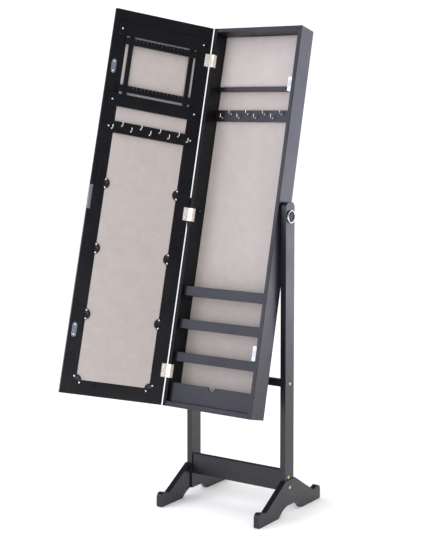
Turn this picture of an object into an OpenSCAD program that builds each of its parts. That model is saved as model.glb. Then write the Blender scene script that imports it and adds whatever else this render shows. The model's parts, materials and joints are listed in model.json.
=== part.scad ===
// Standing jewelry armoire: a tilting mirror cabinet hung between two uprights.
// Origin: on the floor, below the middle of the whole piece with its door open.
// +X is the viewer's right of the cabinet's front, +Y its back, +Z up.

/* [Cabinet] */
// Width over the side panels
cab_w = 316; // [260:1:380]
// Height of the side panels
cab_h = 1170; // [1100:1:1300]
// Depth from the front edges to the back
cab_d = 70; // [62:1:90]
// Thickness of the side panels
side_t = 12; // [9:0.5:15]
// Thickness of the top board
top_t = 12; // [9:0.5:18]
// Thickness of the bottom board
bottom_t = 15.5; // [12:0.5:20]
// Thickness of the back board
back_t = 4; // [3:0.5:6]
// Thickness of the fabric linings
lining_t = 1; // [0.6:0.1:2]
// Rounding of the outer front edges
edge_r = 1.5; // [1:0.1:3]

/* [Cabinet fittings] */
// Depth of the brooch pad
pad_t = 15; // [8:0.5:18]
// Height of the brooch compartment, with its shelf, below the cabinet's upper end
brooch_drop = 188; // [150:1:230]
// Thickness of the brooch shelf
brooch_t = 12.5; // [6:0.5:18]
// Distance of the hook rail's lower edge below the cabinet's upper end
rail_drop = 283; // [270:1:340]
// Height of each hook rail
rail_h = 35.5; // [30:0.5:45]
// Thickness of each hook rail
rail_t = 8; // [6:0.5:12]
// Hooks on each rail
hook_n = 9; // [3:2:9]
// Distance of the end hooks from the cabinet's walls
hook_end = 24; // [16:1:40]
// Radius of the hook wire
hook_r = 1.3; // [1:0.1:1.6]
// Height of the shelf lips
lip_h = 28.5; // [20:0.5:40]
// Thickness of the shelf lips
lip_t = 6; // [5:0.5:9]
// Setback of the lips from the front edges
lip_back = 14; // [12:0.5:20]
// Height of the lowest shelf
shelf_z = 136; // [110:1:150]
// Rise from one shelf to the next
shelf_rise = 100; // [90:1:120]
// Thickness of the shelves
shelf_t = 5; // [4:0.5:8]
// Height of the tray front's upper edge
tray_top = 72.5; // [50:0.5:80]
// Radius of the finger notch in the tray front
notch_r = 12; // [8:0.5:16]
// Height of the magnetic catches
catch_h = 43; // [30:1:50]
// Width of the magnetic catches
catch_w = 13; // [10:0.5:16]
// Depth of the magnetic catches
catch_d = 15; // [10:0.5:20]
// Distance of the upper catch's middle below the cabinet's upper end
catch_drop = 179; // [170:1:215]
// Height of the lower catch's middle
catch_low_z = 188; // [187.5:0.5:195]

/* [Door] */
// Inset of the door from each side of the cabinet
door_inset = 1.5; // [1:0.5:3]
// Thickness of the door
door_t = 16; // [15:0.5:17]
// Width of the door's stiles
stile_w = 45; // [42:0.5:50]
// Height of the door's rails
door_rail_h = 44; // [38:0.5:52]
// Rounding of the door's outer edges
door_r = 3; // [2.5:0.5:4]
// Depth of the recess that takes the mirror, board and lining
rebate_d = 8.5; // [8:0.5:9.5]
// Width of the lip that holds the mirror at the front
rebate_lip = 8; // [6:0.5:12]
// Thickness of the mirror
mirror_t = 4; // [3:0.5:4]
// Thickness of the board behind the mirror
board_t = 3; // [2:0.5:3]
// Angle that the door stands open
door_open = 129; // [95:1:129]

/* [Door fittings] */
// Distance of the rack's upper rail below the door's upper end
rack_drop = 41.5; // [38:0.5:46]
// Height of the rack over its rails
rack_h = 259; // [210:1:270]
// Height of the rack's rails
rack_rail_h = 38.5; // [30:0.5:40]
// Distance of the rack rails' ends from the door's edges
rack_end = 17; // [16:0.5:24]
// Thickness of the rack's boards
rack_t = 8; // [6:0.5:10]
// Width of the rack's upright bars
rack_bar_w = 14.3; // [10:0.1:18]
// Distance of the rack's upright bars from the stiles' inner edges
rack_bar_in = 8; // [2:0.5:20]
// Height of the slotted bars
slot_bar_h = 21; // [16:0.5:24]
// Thickness of the slotted bars
slot_bar_t = 6; // [4:0.5:8]
// How far a slotted bar reaches past the upright bars
slot_bar_over = 13; // [2:0.5:14]
// Gap between a slotted bar and the rail beside it
slot_bar_gap = 7; // [4:0.5:10]
// Slots in each bar
slot_n = 17; // [7:2:21]
// Width of a slot
slot_w = 1.6; // [1:0.1:2.5]
// Depth of a slot
slot_d = 9; // [5:0.5:12]
// Distance between the rack and the door's hook bar
hook_bar_gap = 46; // [30:1:70]
// Distance of the hook bar's ends from the door's edges
hook_bar_end = 17.5; // [17:0.5:24]
// Distance of the end hooks from the hook bar's ends
door_hook_end = 20.5; // [18:0.5:30]
// Height of the lowest pair of side clips
clip_low = 237; // [200:1:260]
// Distance of the highest pair of side clips below the hook bar
clip_drop = 156; // [120:1:200]
// Radius of the half-round panel clips
clip_r = 17; // [12:0.5:18]
// Thickness of the panel clips
clip_t = 3; // [2:0.5:4]
// Distance between a clip's screws
clip_screw_gap = 25; // [16:0.5:26]
// Height of the door pull
pull_h = 73; // [50:1:90]
// Width of the door pull on the door's inner face
pull_w = 9; // [6:0.5:12]
// Height of the pull's middle above the middle of the door
pull_up = 1; // [-60:1:60]
// Height of the strike plates
strike_h = 43; // [30:1:50]
// Width of the strike plates
strike_w = 14; // [10:0.5:15]
// Thickness of the strike plates
strike_t = 1.2; // [1:0.1:1.6]

/* [Hinges] */
// Height of each hinge
hinge_h = 40; // [30:2:50]
// Distance of the end hinges from the ends of the cabinet
hinge_end = 104; // [103:1:106]
// Gap between the closed door and the cabinet
door_gap = 3; // [2.8:0.1:4]
// Thickness of the hinge leaves
leaf_t = 1; // [0.8:0.1:1.2]
// Width of the door leaf
leaf_w = 15; // [12:0.5:20]
// Outer radius of the knuckles
knuckle_r = 2.2; // [2:0.1:2.4]
// Radius of the hinge pins
pin_r = 1.1; // [0.9:0.1:1.2]
// Running clearance around the hinge pins
pin_clear = 0.06; // [0.02:0.01:0.1]

/* [Stand] */
// Depth of the uprights
upright_d = 48; // [40:1:56]
// Thickness of the uprights
upright_t = 18; // [15:0.5:24]
// Height of the uprights' upper ends
upright_top = 929; // [915:1:960]
// Height of the uprights' lower ends
upright_low = 23; // [12:1:30]
// Rounding of the uprights' upper ends
crest_r = 16; // [10:0.5:20]
// Gap between the cabinet and each upright
side_gap = 2.4; // [2:0.1:4]
// Half length of each foot
foot_half = 177.5; // [160:0.5:220]
// Height of the middle of each foot
foot_h = 101; // [85:1:110]
// Thickness of the feet
foot_t = 18; // [15:0.5:24]
// How far a foot stands proud of the upright
foot_proud = 4.8; // [3:0.1:8]
// Height of the arch under a foot
arch_h = 28; // [15:1:35]
// Half width of the arch under a foot
arch_half = 67; // [50:1:80]
// Lower edge of the wide stretcher
stretch_z = 69; // [60:1:75]
// How far the wide stretcher stands above the feet
stretch_rise = 30; // [15:1:60]
// Thickness of the stretcher and the mid rail
stretch_t = 18; // [14:0.5:20]
// Setback of the stretcher from the uprights' front
stretch_back = 4; // [0:0.5:12]
// Lower edge of the mid rail
mid_z = 379; // [300:1:385]
// Height of the mid rail
mid_h = 21; // [18:1:30]

/* [Tilt] */
// Lean of the cabinet
lean = 13.83; // [6:0.01:17]
// Height of the pivot above the floor
pivot_z = 887; // [880:1:900]
// Height of the pivot above the cabinet's lower end
pivot_h = 598; // [560:1:640]
// Clearance between the open door and the upright beside it
door_clear = 2.5; // [2:0.1:5]
// Radius of the pivot bolts
bolt_r = 4; // [3:0.5:5]
// Outer radius of the inserts that turn on the pivot bolts
insert_r = 6.5; // [6:0.5:8]
// Running clearance around the pivot bolts
bolt_clear = 0.06; // [0.02:0.01:0.1]
// Outer radius of the knobs' rims
knob_r = 19.5; // [16:0.5:22]
// Height of the knobs
knob_h = 7; // [5:0.5:12]

/* [Hidden] */
$fn = 48;
in_w = cab_w - 2 * side_t;
lining_y = cab_d - back_t - lining_t;
ceiling_z = cab_h - top_t;
door_w = cab_w - 2 * door_inset;
door_x = -cab_w / 2 + door_inset;
pin_x = -cab_w / 2;
pin_y = -door_gap / 2;
pocket_r = knuckle_r + 0.5;
barrel = hinge_h / 3;
hinge_zs = [hinge_end, cab_h / 2 - 4, cab_h - hinge_end];
catch_zs = [catch_low_z, cab_h - catch_drop];
strike_u = cab_w - side_t - catch_w / 2 - door_inset;
upright_in = cab_w / 2 + side_gap;
upright_out = upright_in + upright_t;
foot_out = upright_out + foot_proud;
foot_in = foot_out - foot_t;
fit = 0.1;
stretch_y = -upright_d / 2 + stretch_back;
bolt_y = stretch_y + stretch_t - 4;
foot_bolt_z = stretch_z + 10;
low_bolt_z = foot_h + 7.6;
stretch_h = foot_h + stretch_rise - stretch_z;
brooch_z = cab_h - brooch_drop;
rail_z = cab_h - rail_drop;
rack_top_z = cab_h - rack_drop - rack_rail_h;
rack_low_z = cab_h - rack_drop - rack_h;
hook_bar_z = rack_low_z - hook_bar_gap - rail_h;
rack_len = door_w - 2 * rack_end;
rack_bar_gap = door_w - 2 * (stile_w + rack_bar_in) - rack_bar_w;
slot_bar_len = rack_bar_gap + rack_bar_w + 2 * slot_bar_over;
hook_bar_len = door_w - 2 * hook_bar_end;
hook_pitch = (in_w - 2 * hook_end) / (hook_n - 1);
door_hook_pitch = (hook_bar_len - 2 * door_hook_end) / (hook_n - 1);
pull_z = cab_h / 2 + pull_up;
door_mid = door_w / 2;
head_r = 4.5;
screw_r = 2.4;
knob_out = upright_out + knob_h;

// Depth of the pivot behind the cabinet's front edges: the open door's outer corner, which its
// rounding takes back a little, stays clear of the upright's rounded upper end
corner_y = pin_y - (door_x - pin_x) * sin(door_open) + (-door_gap - pin_y - door_t) * cos(door_open)
    - door_r * (sin(door_open) - cos(door_open) - 1);
pivot_d = corner_y + crest_r + (upright_d / 2 - crest_r) * cos(lean)
    + (upright_top - crest_r - pivot_z) * sin(lean) + door_clear;

// Middle of the whole piece as it stands, seen from above
free_dx = door_x + door_w - pin_x;
free_dy = -door_gap - pin_y;
reach_x = pin_x + free_dx * cos(door_open) + (free_dy - door_t) * sin(door_open);
reach_y = pin_y - free_dx * sin(door_open) + free_dy * cos(door_open);
low_y = (reach_y - pivot_d) * cos(lean) - pivot_h * sin(lean);
mid_x = (reach_x + max(knob_out, foot_out)) / 2;
mid_y = (low_y + foot_half) / 2;

function hook_x(k, pitch) = (k - (hook_n - 1) / 2) * pitch;
function hook_rise(k) = k % 2 == 0 ? 11.5 : 23.5;
function slot_x(k) = (k - (slot_n - 1) / 2) * (slot_bar_len - 40) / (slot_n - 1);

// Frames ---------------------------------------------------------------------

// From the middle of the stand at floor level to the middle of the whole piece
module placed() {
    translate([-mid_x, -mid_y, 0]) children();
}

// Cabinet frame: x from the middle, y back from the front edges, z up from the lower end
module on_cabinet() {
    placed()
        translate([0, 0, pivot_z])
            rotate([-lean, 0, 0])
                translate([0, -pivot_d, -pivot_h]) children();
}

// Door frame: x from the hinge edge, y = 0 on the inner face and negative to the mirror side
module on_door() {
    on_cabinet()
        translate([pin_x, pin_y, 0])
            rotate([0, 0, -door_open])
                translate([door_x - pin_x, -door_gap - pin_y, 0]) children();
}

// Extrudes a profile drawn in y and z along x
module along_x(x0, len) {
    translate([x0, 0, 0]) rotate([90, 0, 90]) linear_extrude(len) children();
}

module rod(r, h) {
    cylinder(r = r, h = h);
}

// Round rod along x from x0
module rod_x(r, x0, len) {
    translate([x0, 0, 0]) rotate([0, 90, 0]) rod(r, len);
}

// Low domed screw head whose seat is at y = 0 and dome towards +y
module dome_head(r, h) {
    ball = (r * r + h * h) / (2 * h);
    rotate([-90, 0, 0])
        intersection() {
            translate([0, 0, h - ball]) sphere(r = ball);
            rod(r, h + 1);
        }
}

// Stand ----------------------------------------------------------------------

module upright_profile() {
    half = upright_d / 2;
    difference() {
        translate([-half, upright_low]) square([upright_d, upright_top - upright_low]);
        for (s = [0, 1])
            mirror([s, 0])
                translate([half - crest_r, upright_top - crest_r])
                    difference() {
                        square([crest_r + 1, crest_r + 1]);
                        circle(crest_r);
                    }
    }
}

module upright(s) {
    x0 = s > 0 ? upright_in : -upright_out;
    placed()
        color("#45454c")
            difference() {
                along_x(x0, upright_t) upright_profile();
                translate([0, 0, pivot_z]) rod_x(bolt_r + bolt_clear, x0 - 1, upright_t + 2);
                for (p = [[bolt_y, foot_bolt_z], [bolt_y, low_bolt_z], [0, mid_z + mid_h / 2]])
                    translate([0, p[0], p[1]]) rod_x(3, x0 - 1, upright_t + 2);
            }
}

module upright_left() { upright(-1); }
module upright_right() { upright(1); }

module foot_profile() {
    toe_r = 14;
    arch_r = (arch_half * arch_half + arch_h * arch_h) / (2 * arch_h);
    difference() {
        union() {
            polygon([[-foot_half + 3, 0], [foot_half - 3, 0], [foot_half, 4], [foot_half, 29],
                [foot_half - 14, 38], [foot_half - 24, 40], [foot_half - 41.5, 36], [33, foot_h - 3],
                [29, foot_h], [-29, foot_h], [-33, foot_h - 3], [-foot_half + 41.5, 36],
                [-foot_half + 24, 40], [-foot_half + 14, 38], [-foot_half, 29], [-foot_half, 4]]);
            for (s = [-1, 1])
                translate([s * (foot_half - toe_r), 29]) circle(toe_r);
        }
        translate([0, arch_h - arch_r]) circle(arch_r, $fn = 96);
    }
}

module foot(s) {
    x0 = s > 0 ? foot_in : -foot_out;
    pocket_x = s > 0 ? foot_in - 1 : -upright_out - fit;
    placed()
        color("#45454c")
            difference() {
                along_x(x0, foot_t) foot_profile();
                translate([pocket_x, -upright_d / 2 - fit, upright_low])
                    cube([upright_out - foot_in + 1 + fit, upright_d + 2 * fit, foot_h]);
                translate([0, bolt_y, foot_bolt_z]) rod_x(3, x0 - 1, foot_t + 2);
            }
}

module foot_left() { foot(-1); }
module foot_right() { foot(1); }

module rail_holes(x0, y, zs, depth) {
    for (z = zs, s = [-1, 1])
        translate([s > 0 ? x0 - depth : -x0, y, z]) rod_x(3, 0, depth);
}

module stretcher() {
    placed()
        color("#26262b")
            difference() {
                translate([-upright_in, stretch_y, stretch_z])
                    cube([2 * upright_in, stretch_t, stretch_h]);
                rail_holes(upright_in, bolt_y, [foot_bolt_z, low_bolt_z], 30);
            }
}

module mid_rail() {
    placed()
        color("#26262b")
            difference() {
                translate([-upright_in, -stretch_t / 2, mid_z]) cube([2 * upright_in, stretch_t, mid_h]);
                rail_holes(upright_in, 0, [mid_z + mid_h / 2], 30);
            }
}

// One stand bolt: domed head seated at x = seat, shank running inwards
module stand_bolt(s, seat, y, z) {
    len = seat - upright_in + 28;
    translate([s * seat, y, z])
        rotate([0, 0, s > 0 ? -90 : 90]) {
            dome_head(head_r, 1.8);
            rotate([90, 0, 0]) rod(3, len);
        }
}

module stand_bolts() {
    placed()
        color("#c9a24a")
            for (s = [-1, 1]) {
                stand_bolt(s, foot_out, bolt_y, foot_bolt_z);
                stand_bolt(s, upright_out, bolt_y, low_bolt_z);
                stand_bolt(s, upright_out, 0, mid_z + mid_h / 2);
            }
}

module pivot_washers() {
    placed()
        color("#9a9a9c")
            for (s = [-1, 1])
                translate([0, 0, pivot_z])
                    difference() {
                        rod_x(9, s > 0 ? upright_in - side_gap + 0.6 : -upright_in, side_gap - 0.6);
                        rod_x(bolt_r + 0.4, s > 0 ? cab_w / 2 : -upright_in - 1, side_gap + 2);
                    }
}

// Knobs ----------------------------------------------------------------------

module knob_side(s) {
    placed() translate([0, 0, pivot_z]) rotate([0, 0, s > 0 ? 0 : 180]) children();
}

module knob_cap(s) {
    knob_side(s)
        color("#18181b")
            difference() {
                union() {
                    rod_x(knob_r - 3, upright_out + 0.4, knob_h - 1.4);
                    rod_x(knob_r - 5, upright_out + 0.4, knob_h - 0.4);
                }
                rod_x(bolt_r, upright_out, knob_h - 2);
            }
}

module knob_rim(s) {
    knob_side(s)
        color("#c8c8cc")
            difference() {
                rod_x(knob_r, upright_out + 0.4, knob_h - 2);
                rod_x(knob_r - 3, upright_out, knob_h);
            }
}

module pivot_bolt(s) {
    knob_side(s)
        color("#9a9a9c") rod_x(bolt_r, cab_w / 2 - side_t, upright_out + knob_h - 2 - cab_w / 2 + side_t);
}

module knob_left() { knob_cap(-1); }
module knob_left_rim() { knob_rim(-1); }
module pivot_bolt_left() { pivot_bolt(-1); }
module knob_right() { knob_cap(1); }
module knob_right_rim() { knob_rim(1); }
module pivot_bolt_right() { pivot_bolt(1); }

// Cabinet --------------------------------------------------------------------

// Side panel seen from above, its outer front edge rounded
module side_profile() {
    difference() {
        square([side_t, cab_d]);
        difference() {
            square([edge_r, edge_r]);
            translate([edge_r, edge_r]) circle(edge_r);
        }
    }
}

module side_panel(s) {
    on_cabinet()
        color("#3a3a41")
            difference() {
                translate([s * cab_w / 2, 0, 0])
                    mirror([s > 0 ? 1 : 0, 0, 0]) linear_extrude(cab_h) side_profile();
                translate([0, pivot_d, pivot_h]) rod_x(insert_r, s * cab_w / 2 - side_t - 1, 2 * side_t + 2);
                if (s < 0)
                    for (z = hinge_zs)
                        translate([pin_x, pin_y, z - hinge_h / 2 - 0.5]) rod(pocket_r, hinge_h + 1);
            }
}

module side_panel_left() { side_panel(-1); }
module side_panel_right() { side_panel(1); }

// A board across the inside of the cabinet
module inner_board(y0, y1, z0, h) {
    translate([-in_w / 2, y0, z0]) cube([in_w, y1 - y0, h]);
}

module top_board() {
    on_cabinet() color("#33333a") inner_board(0, cab_d, cab_h - top_t, top_t);
}

module bottom_board() {
    on_cabinet() color("#33333a") inner_board(0, cab_d, 0, bottom_t);
}

module back_board() {
    on_cabinet()
        color("#33333a") inner_board(cab_d - back_t, cab_d, bottom_t, cab_h - top_t - bottom_t);
}

module back_lining() {
    on_cabinet()
        color("#c3bab6") inner_board(lining_y, lining_y + lining_t, bottom_t, cab_h - top_t - bottom_t);
}

module brooch_pad() {
    z0 = brooch_z + brooch_t;
    on_cabinet() color("#c3bab6") inner_board(lining_y - pad_t, lining_y, z0, ceiling_z - z0);
}

module brooch_shelf() {
    on_cabinet() color("#1c1c20") inner_board(lining_y - pad_t - 1.5, lining_y, brooch_z, brooch_t);
}

// Holes for the hook shanks, drilled from the face at y = 0 towards +y
module hook_holes(pitch) {
    for (k = [0:hook_n - 1])
        translate([hook_x(k, pitch), 0, hook_rise(k)]) rotate([-90, 0, 0]) rod(hook_r, rail_t - 2);
}

module cabinet_hook_rail() {
    on_cabinet()
        color("#18181b")
            difference() {
                inner_board(lining_y - rail_t, lining_y, rail_z, rail_h);
                translate([0, lining_y - rail_t, rail_z]) hook_holes(hook_pitch);
            }
}

// Hook screwed into a face at y = 0: shank out along -y, bend, and an upturned end with a ball
module hook() {
    reach = 9;
    bend = 4;
    rotate([90, 0, 0]) translate([0, 0, -(rail_t - 2)]) rod(hook_r, rail_t - 2 + reach);
    translate([0, -reach, bend])
        rotate([90, 0, -90]) rotate([0, 0, -90])
            rotate_extrude(angle = 90) translate([bend, 0]) circle(hook_r);
    translate([0, -reach - bend, bend]) rod(hook_r, 5);
    translate([0, -reach - bend, bend + 5]) sphere(hook_r * 1.5);
    rotate([90, 0, 0]) rod(hook_r * 2, 1);
}

module cabinet_hooks() {
    on_cabinet()
        color("#c8c8cc")
            for (k = [0:hook_n - 1])
                translate([hook_x(k, hook_pitch), lining_y - rail_t, rail_z + hook_rise(k)]) hook();
}

module shelf(k) {
    on_cabinet()
        color("#26262b") inner_board(lip_back + lip_t, lining_y, shelf_z + k * shelf_rise, shelf_t);
}

module shelf_upper() { shelf(2); }
module shelf_middle() { shelf(1); }
module shelf_lower() { shelf(0); }

module shelf_lip(k) {
    on_cabinet()
        color("#4d4d55") inner_board(lip_back, lip_back + lip_t, shelf_z + k * shelf_rise, lip_h);
}

module shelf_lip_upper() { shelf_lip(2); }
module shelf_lip_middle() { shelf_lip(1); }
module shelf_lip_lower() { shelf_lip(0); }

module tray_front() {
    on_cabinet()
        color("#4d4d55")
            difference() {
                inner_board(lip_back, lip_back + lip_t, bottom_t, tray_top - bottom_t);
                translate([0, lip_back - 1, tray_top]) rotate([-90, 0, 0]) rod(notch_r, lip_t + 2);
            }
}

// Magnetic catch: a housing with two plates that meet the strike
module magnet_catches() {
    x0 = in_w / 2 - catch_w;
    on_cabinet()
        color("#e4e8ee")
            for (z = catch_zs) {
                translate([x0, 1, z - catch_h / 2]) cube([catch_w, catch_d, catch_h]);
                for (s = [0, 1])
                    translate([x0 + 3 + s * (catch_w - 8), 0.2, z - 10]) cube([2, 1.8, 20]);
            }
}

module cabinet_hinge_leaves() {
    wall = -in_w / 2;
    on_cabinet()
        color("#c8c8cc")
            for (z = hinge_zs)
                translate([0, 0, z - hinge_h / 2])
                    difference() {
                        union() {
                            translate([pin_x, -leaf_t, 0]) cube([wall - pin_x + leaf_t, leaf_t, hinge_h]);
                            translate([wall, -leaf_t, 0]) cube([leaf_t, leaf_t + lip_back - 0.5, hinge_h]);
                            translate([pin_x, pin_y, 0]) rod(knuckle_r, hinge_h);
                        }
                        translate([pin_x, pin_y, -1]) rod(pin_r, hinge_h + 2);
                        translate([pin_x - 3, pin_y - 3, barrel - 0.15])
                            cube([3 + knuckle_r + 0.4, 6, barrel + 0.3]);
                        for (h = [hinge_h / 4, hinge_h * 3 / 4])
                            translate([wall, 8, h]) rod_x(1.5, -1, 3);
                    }
}

module cabinet_hinge_screws() {
    on_cabinet()
        color("#b4b4b8")
            for (z = hinge_zs, h = [-hinge_h / 4, hinge_h / 4])
                translate([-in_w / 2, 8, z + h])
                    rotate([0, 0, -90]) {
                        translate([0, leaf_t, 0]) dome_head(screw_r, 0.9);
                        rotate([-90, 0, 0]) rod(1.5, leaf_t + 0.2);
                    }
}

module hinge_pins() {
    on_cabinet()
        color("#b4b4b8")
            for (z = hinge_zs)
                translate([pin_x, pin_y, z - hinge_h / 2]) rod(pin_r, hinge_h);
}

module pivot_inserts() {
    on_cabinet()
        color("#9a9a9c")
            for (s = [-1, 1])
                translate([0, pivot_d, pivot_h])
                    difference() {
                        union() {
                            rod_x(insert_r, s > 0 ? in_w / 2 : -cab_w / 2, side_t);
                            rod_x(insert_r + 3.5, s > 0 ? in_w / 2 - 1.5 : -in_w / 2, 1.5);
                        }
                        rod_x(bolt_r + bolt_clear, s * (cab_w / 2 - side_t / 2) - side_t, 2 * side_t);
                    }
}

// Door -----------------------------------------------------------------------

// Stile seen from above: outer edge at x = 0, inner face at y = 0, mirror side towards -y
module stile_profile() {
    difference() {
        translate([0, -door_t]) square([stile_w + rebate_lip, door_t]);
        translate([stile_w, -rebate_d]) square([rebate_lip + 1, rebate_d + 1]);
        difference() {
            translate([0, -door_t]) square([door_r, door_r]);
            translate([door_r, -door_t + door_r]) circle(door_r);
        }
    }
}

module hinge_pockets() {
    for (z = hinge_zs)
        translate([pin_x - door_x, door_gap + pin_y, z - hinge_h / 2 - 0.5]) rod(pocket_r, hinge_h + 1);
}

module door_stile_hinge_side() {
    on_door()
        color("#1c1c20")
            difference() {
                linear_extrude(cab_h) stile_profile();
                hinge_pockets();
                rail_tongues();
            }
}

// The door rails' lips lap over the stiles' lips
module rail_tongues() {
    translate([stile_w, -door_t - 1, -1])
        cube([door_w - 2 * stile_w, door_t + 2, door_rail_h + rebate_lip + 1]);
    translate([stile_w, -door_t - 1, cab_h - door_rail_h - rebate_lip])
        cube([door_w - 2 * stile_w, door_t + 2, door_rail_h + rebate_lip + 1]);
}

module door_stile_free_side() {
    on_door()
        color("#1c1c20")
            difference() {
                translate([door_w, 0, 0]) mirror([1, 0, 0]) linear_extrude(cab_h) stile_profile();
                pull_shape(0);
                rail_tongues();
            }
}

module door_rail(low) {
    z0 = low ? 0 : cab_h - door_rail_h - rebate_lip;
    open_z = low ? door_rail_h : cab_h - door_rail_h - rebate_lip - 1;
    on_door()
        color("#1c1c20")
            difference() {
                translate([stile_w, -door_t, z0])
                    cube([door_w - 2 * stile_w, door_t, door_rail_h + rebate_lip]);
                translate([stile_w - 1, -rebate_d, open_z])
                    cube([door_w - 2 * stile_w + 2, rebate_d + 1, rebate_lip + 1]);
            }
}

module door_rail_top() { door_rail(false); }
module door_rail_bottom() { door_rail(true); }

// A sheet that fills the door's recess, from depth d0 to d1 behind the inner face
module door_sheet(d0, d1) {
    on_door()
        translate([stile_w, -d1, door_rail_h])
            cube([door_w - 2 * stile_w, d1 - d0, cab_h - 2 * door_rail_h]);
}

module mirror_glass() {
    color("#b9c4cc") door_sheet(rebate_d - mirror_t, rebate_d);
}

module mirror_board() {
    color("#6b5a48") door_sheet(rebate_d - mirror_t - board_t, rebate_d - mirror_t);
}

module door_lining() {
    color("#c3bab6") door_sheet(rebate_d - mirror_t - board_t - lining_t, rebate_d - mirror_t - board_t);
}

clip_top = hook_bar_z - clip_drop;
clip_zs = [clip_low, (clip_low + clip_top) / 2, clip_top];
clip_in = 4;
clip_places = concat(
    [for (z = clip_zs) [stile_w - clip_in, z, 0]],
    [for (z = clip_zs) [door_w - stile_w + clip_in, z, 180]],
    [[stile_w - 2, door_rail_h - 2, 45], [door_w - stile_w + 2, door_rail_h - 2, 135]]);

// Half-round clip: straight side on the frame, round side over the lining
module clip_shape() {
    rotate([-90, 0, 0])
        linear_extrude(clip_t)
            difference() {
                circle(clip_r);
                translate([-2 * clip_r, -2 * clip_r]) square([2 * clip_r, 4 * clip_r]);
            }
}

module panel_clips() {
    on_door()
        color("#111114")
            for (p = clip_places)
                translate([p[0], 0, p[1]]) rotate([0, -p[2], 0]) clip_shape();
}

// Screws of the clips, the rack rails, the hook bar and the strike plates
module door_screws() {
    on_door()
        color("#c8c8cc") {
            for (p = clip_places, s = [-1, 1])
                translate([p[0], clip_t, p[1]])
                    rotate([0, -p[2], 0])
                        translate([3.4, 0, s * clip_screw_gap / 2]) dome_head(screw_r, 1.1);
            for (z = [rack_top_z, rack_low_z], s = [-1, 1])
                translate([door_mid + s * (rack_len / 2 - 9.5), rack_t, z + rack_rail_h / 2])
                    dome_head(screw_r, 1.1);
            for (s = [-1, 1])
                translate([door_mid + s * (hook_bar_len / 2 - 9.5), rail_t, hook_bar_z + rail_h / 2])
                    dome_head(screw_r, 1.1);
            for (z = catch_zs, s = [-1, 1])
                translate([strike_u, strike_t, z + s * (strike_h / 2 - strike_w / 2)])
                    dome_head(screw_r, 1.1);
        }
}

// A board on the door's inner face
module face_board(x0, x1, z0, h, t0, t) {
    translate([x0, t0, z0]) cube([x1 - x0, t, h]);
}

module rack_rail(z) {
    on_door()
        color("#141417")
            face_board(door_mid - rack_len / 2, door_mid + rack_len / 2, z, rack_rail_h, 0, rack_t);
}

module rack_rail_top() { rack_rail(rack_top_z); }
module rack_rail_bottom() { rack_rail(rack_low_z); }

module rack_upright(s) {
    x = door_mid + s * rack_bar_gap / 2;
    z0 = rack_low_z + rack_rail_h;
    on_door()
        color("#141417")
            face_board(x - rack_bar_w / 2, x + rack_bar_w / 2, z0, rack_top_z - z0, 0, rack_t);
}

module rack_upright_hinge_side() { rack_upright(-1); }
module rack_upright_free_side() { rack_upright(1); }

module rack_bar(z) {
    on_door()
        color("#141417")
            difference() {
                face_board(door_mid - slot_bar_len / 2, door_mid + slot_bar_len / 2, z, slot_bar_h,
                    rack_t, slot_bar_t);
                for (k = [0:slot_n - 1])
                    translate([door_mid + slot_x(k) - slot_w / 2, rack_t - 1, z + slot_bar_h - slot_d])
                        cube([slot_w, slot_bar_t + 2, slot_d + 1]);
            }
}

module rack_bar_upper() { rack_bar(rack_top_z - slot_bar_gap - slot_bar_h); }
module rack_bar_lower() { rack_bar(rack_low_z + rack_rail_h + slot_bar_gap); }

module door_hook_bar() {
    end_r = rail_h / 2;
    on_door()
        color("#141417")
            difference() {
                union() {
                    face_board(door_mid - hook_bar_len / 2 + end_r, door_mid + hook_bar_len / 2 - end_r,
                        hook_bar_z, rail_h, 0, rail_t);
                    for (s = [-1, 1])
                        translate([door_mid + s * (hook_bar_len / 2 - end_r), 0, hook_bar_z + end_r])
                            rotate([-90, 0, 0]) rod(end_r, rail_t);
                }
                translate([door_mid, rail_t, hook_bar_z]) mirror([0, 1, 0]) hook_holes(door_hook_pitch);
            }
}

module door_hooks() {
    on_door()
        color("#c8c8cc")
            for (k = [0:hook_n - 1])
                translate([door_mid + hook_x(k, door_hook_pitch), rail_t, hook_bar_z + hook_rise(k)])
                    mirror([0, 1, 0]) hook();
}

module strike_plates() {
    r = strike_w / 2;
    on_door()
        color("#d4d4d8")
            for (z = catch_zs)
                translate([strike_u, 0, z]) {
                    face_board(-r, r, -strike_h / 2 + r, strike_h - strike_w, 0, strike_t);
                    for (s = [-1, 1])
                        translate([0, 0, s * (strike_h / 2 - r)]) rotate([-90, 0, 0]) rod(r, strike_t);
                }
}

// Pull let into the free edge: a plate on the inner face and one on the edge
module pull_shape(trim) {
    plate = 1.4;
    deep = door_t - 4;
    translate([door_w - pull_w, -plate, pull_z - pull_h / 2])
        cube([pull_w + 0.4 - trim, plate + 0.4 - trim, pull_h]);
    translate([door_w - plate, -deep, pull_z - pull_h / 2]) cube([plate + 0.4 - trim, deep, pull_h]);
}

module door_pull() {
    on_door() color("#b9b9bd") pull_shape(0.4);
}

module door_hinge_leaves() {
    on_door()
        color("#c8c8cc")
            for (z = hinge_zs)
                translate([pin_x - door_x, 0, z - hinge_h / 2])
                    difference() {
                        union() {
                            cube([door_x - pin_x + leaf_w, leaf_t, hinge_h]);
                            translate([0, door_gap + pin_y, barrel + 0.15]) rod(knuckle_r, barrel - 0.3);
                        }
                        translate([0, door_gap + pin_y, -1]) rod(pin_r + pin_clear, hinge_h + 2);
                        for (b = [-1, 2 * barrel - 0.15])
                            translate([-3, -1, b]) cube([3 + knuckle_r + 0.4, 5, barrel + 1.15]);
                        for (h = [hinge_h / 4, hinge_h * 3 / 4])
                            translate([door_x - pin_x + leaf_w - 5, -1, h]) rotate([-90, 0, 0]) rod(1.5, 3);
                    }
}

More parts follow.
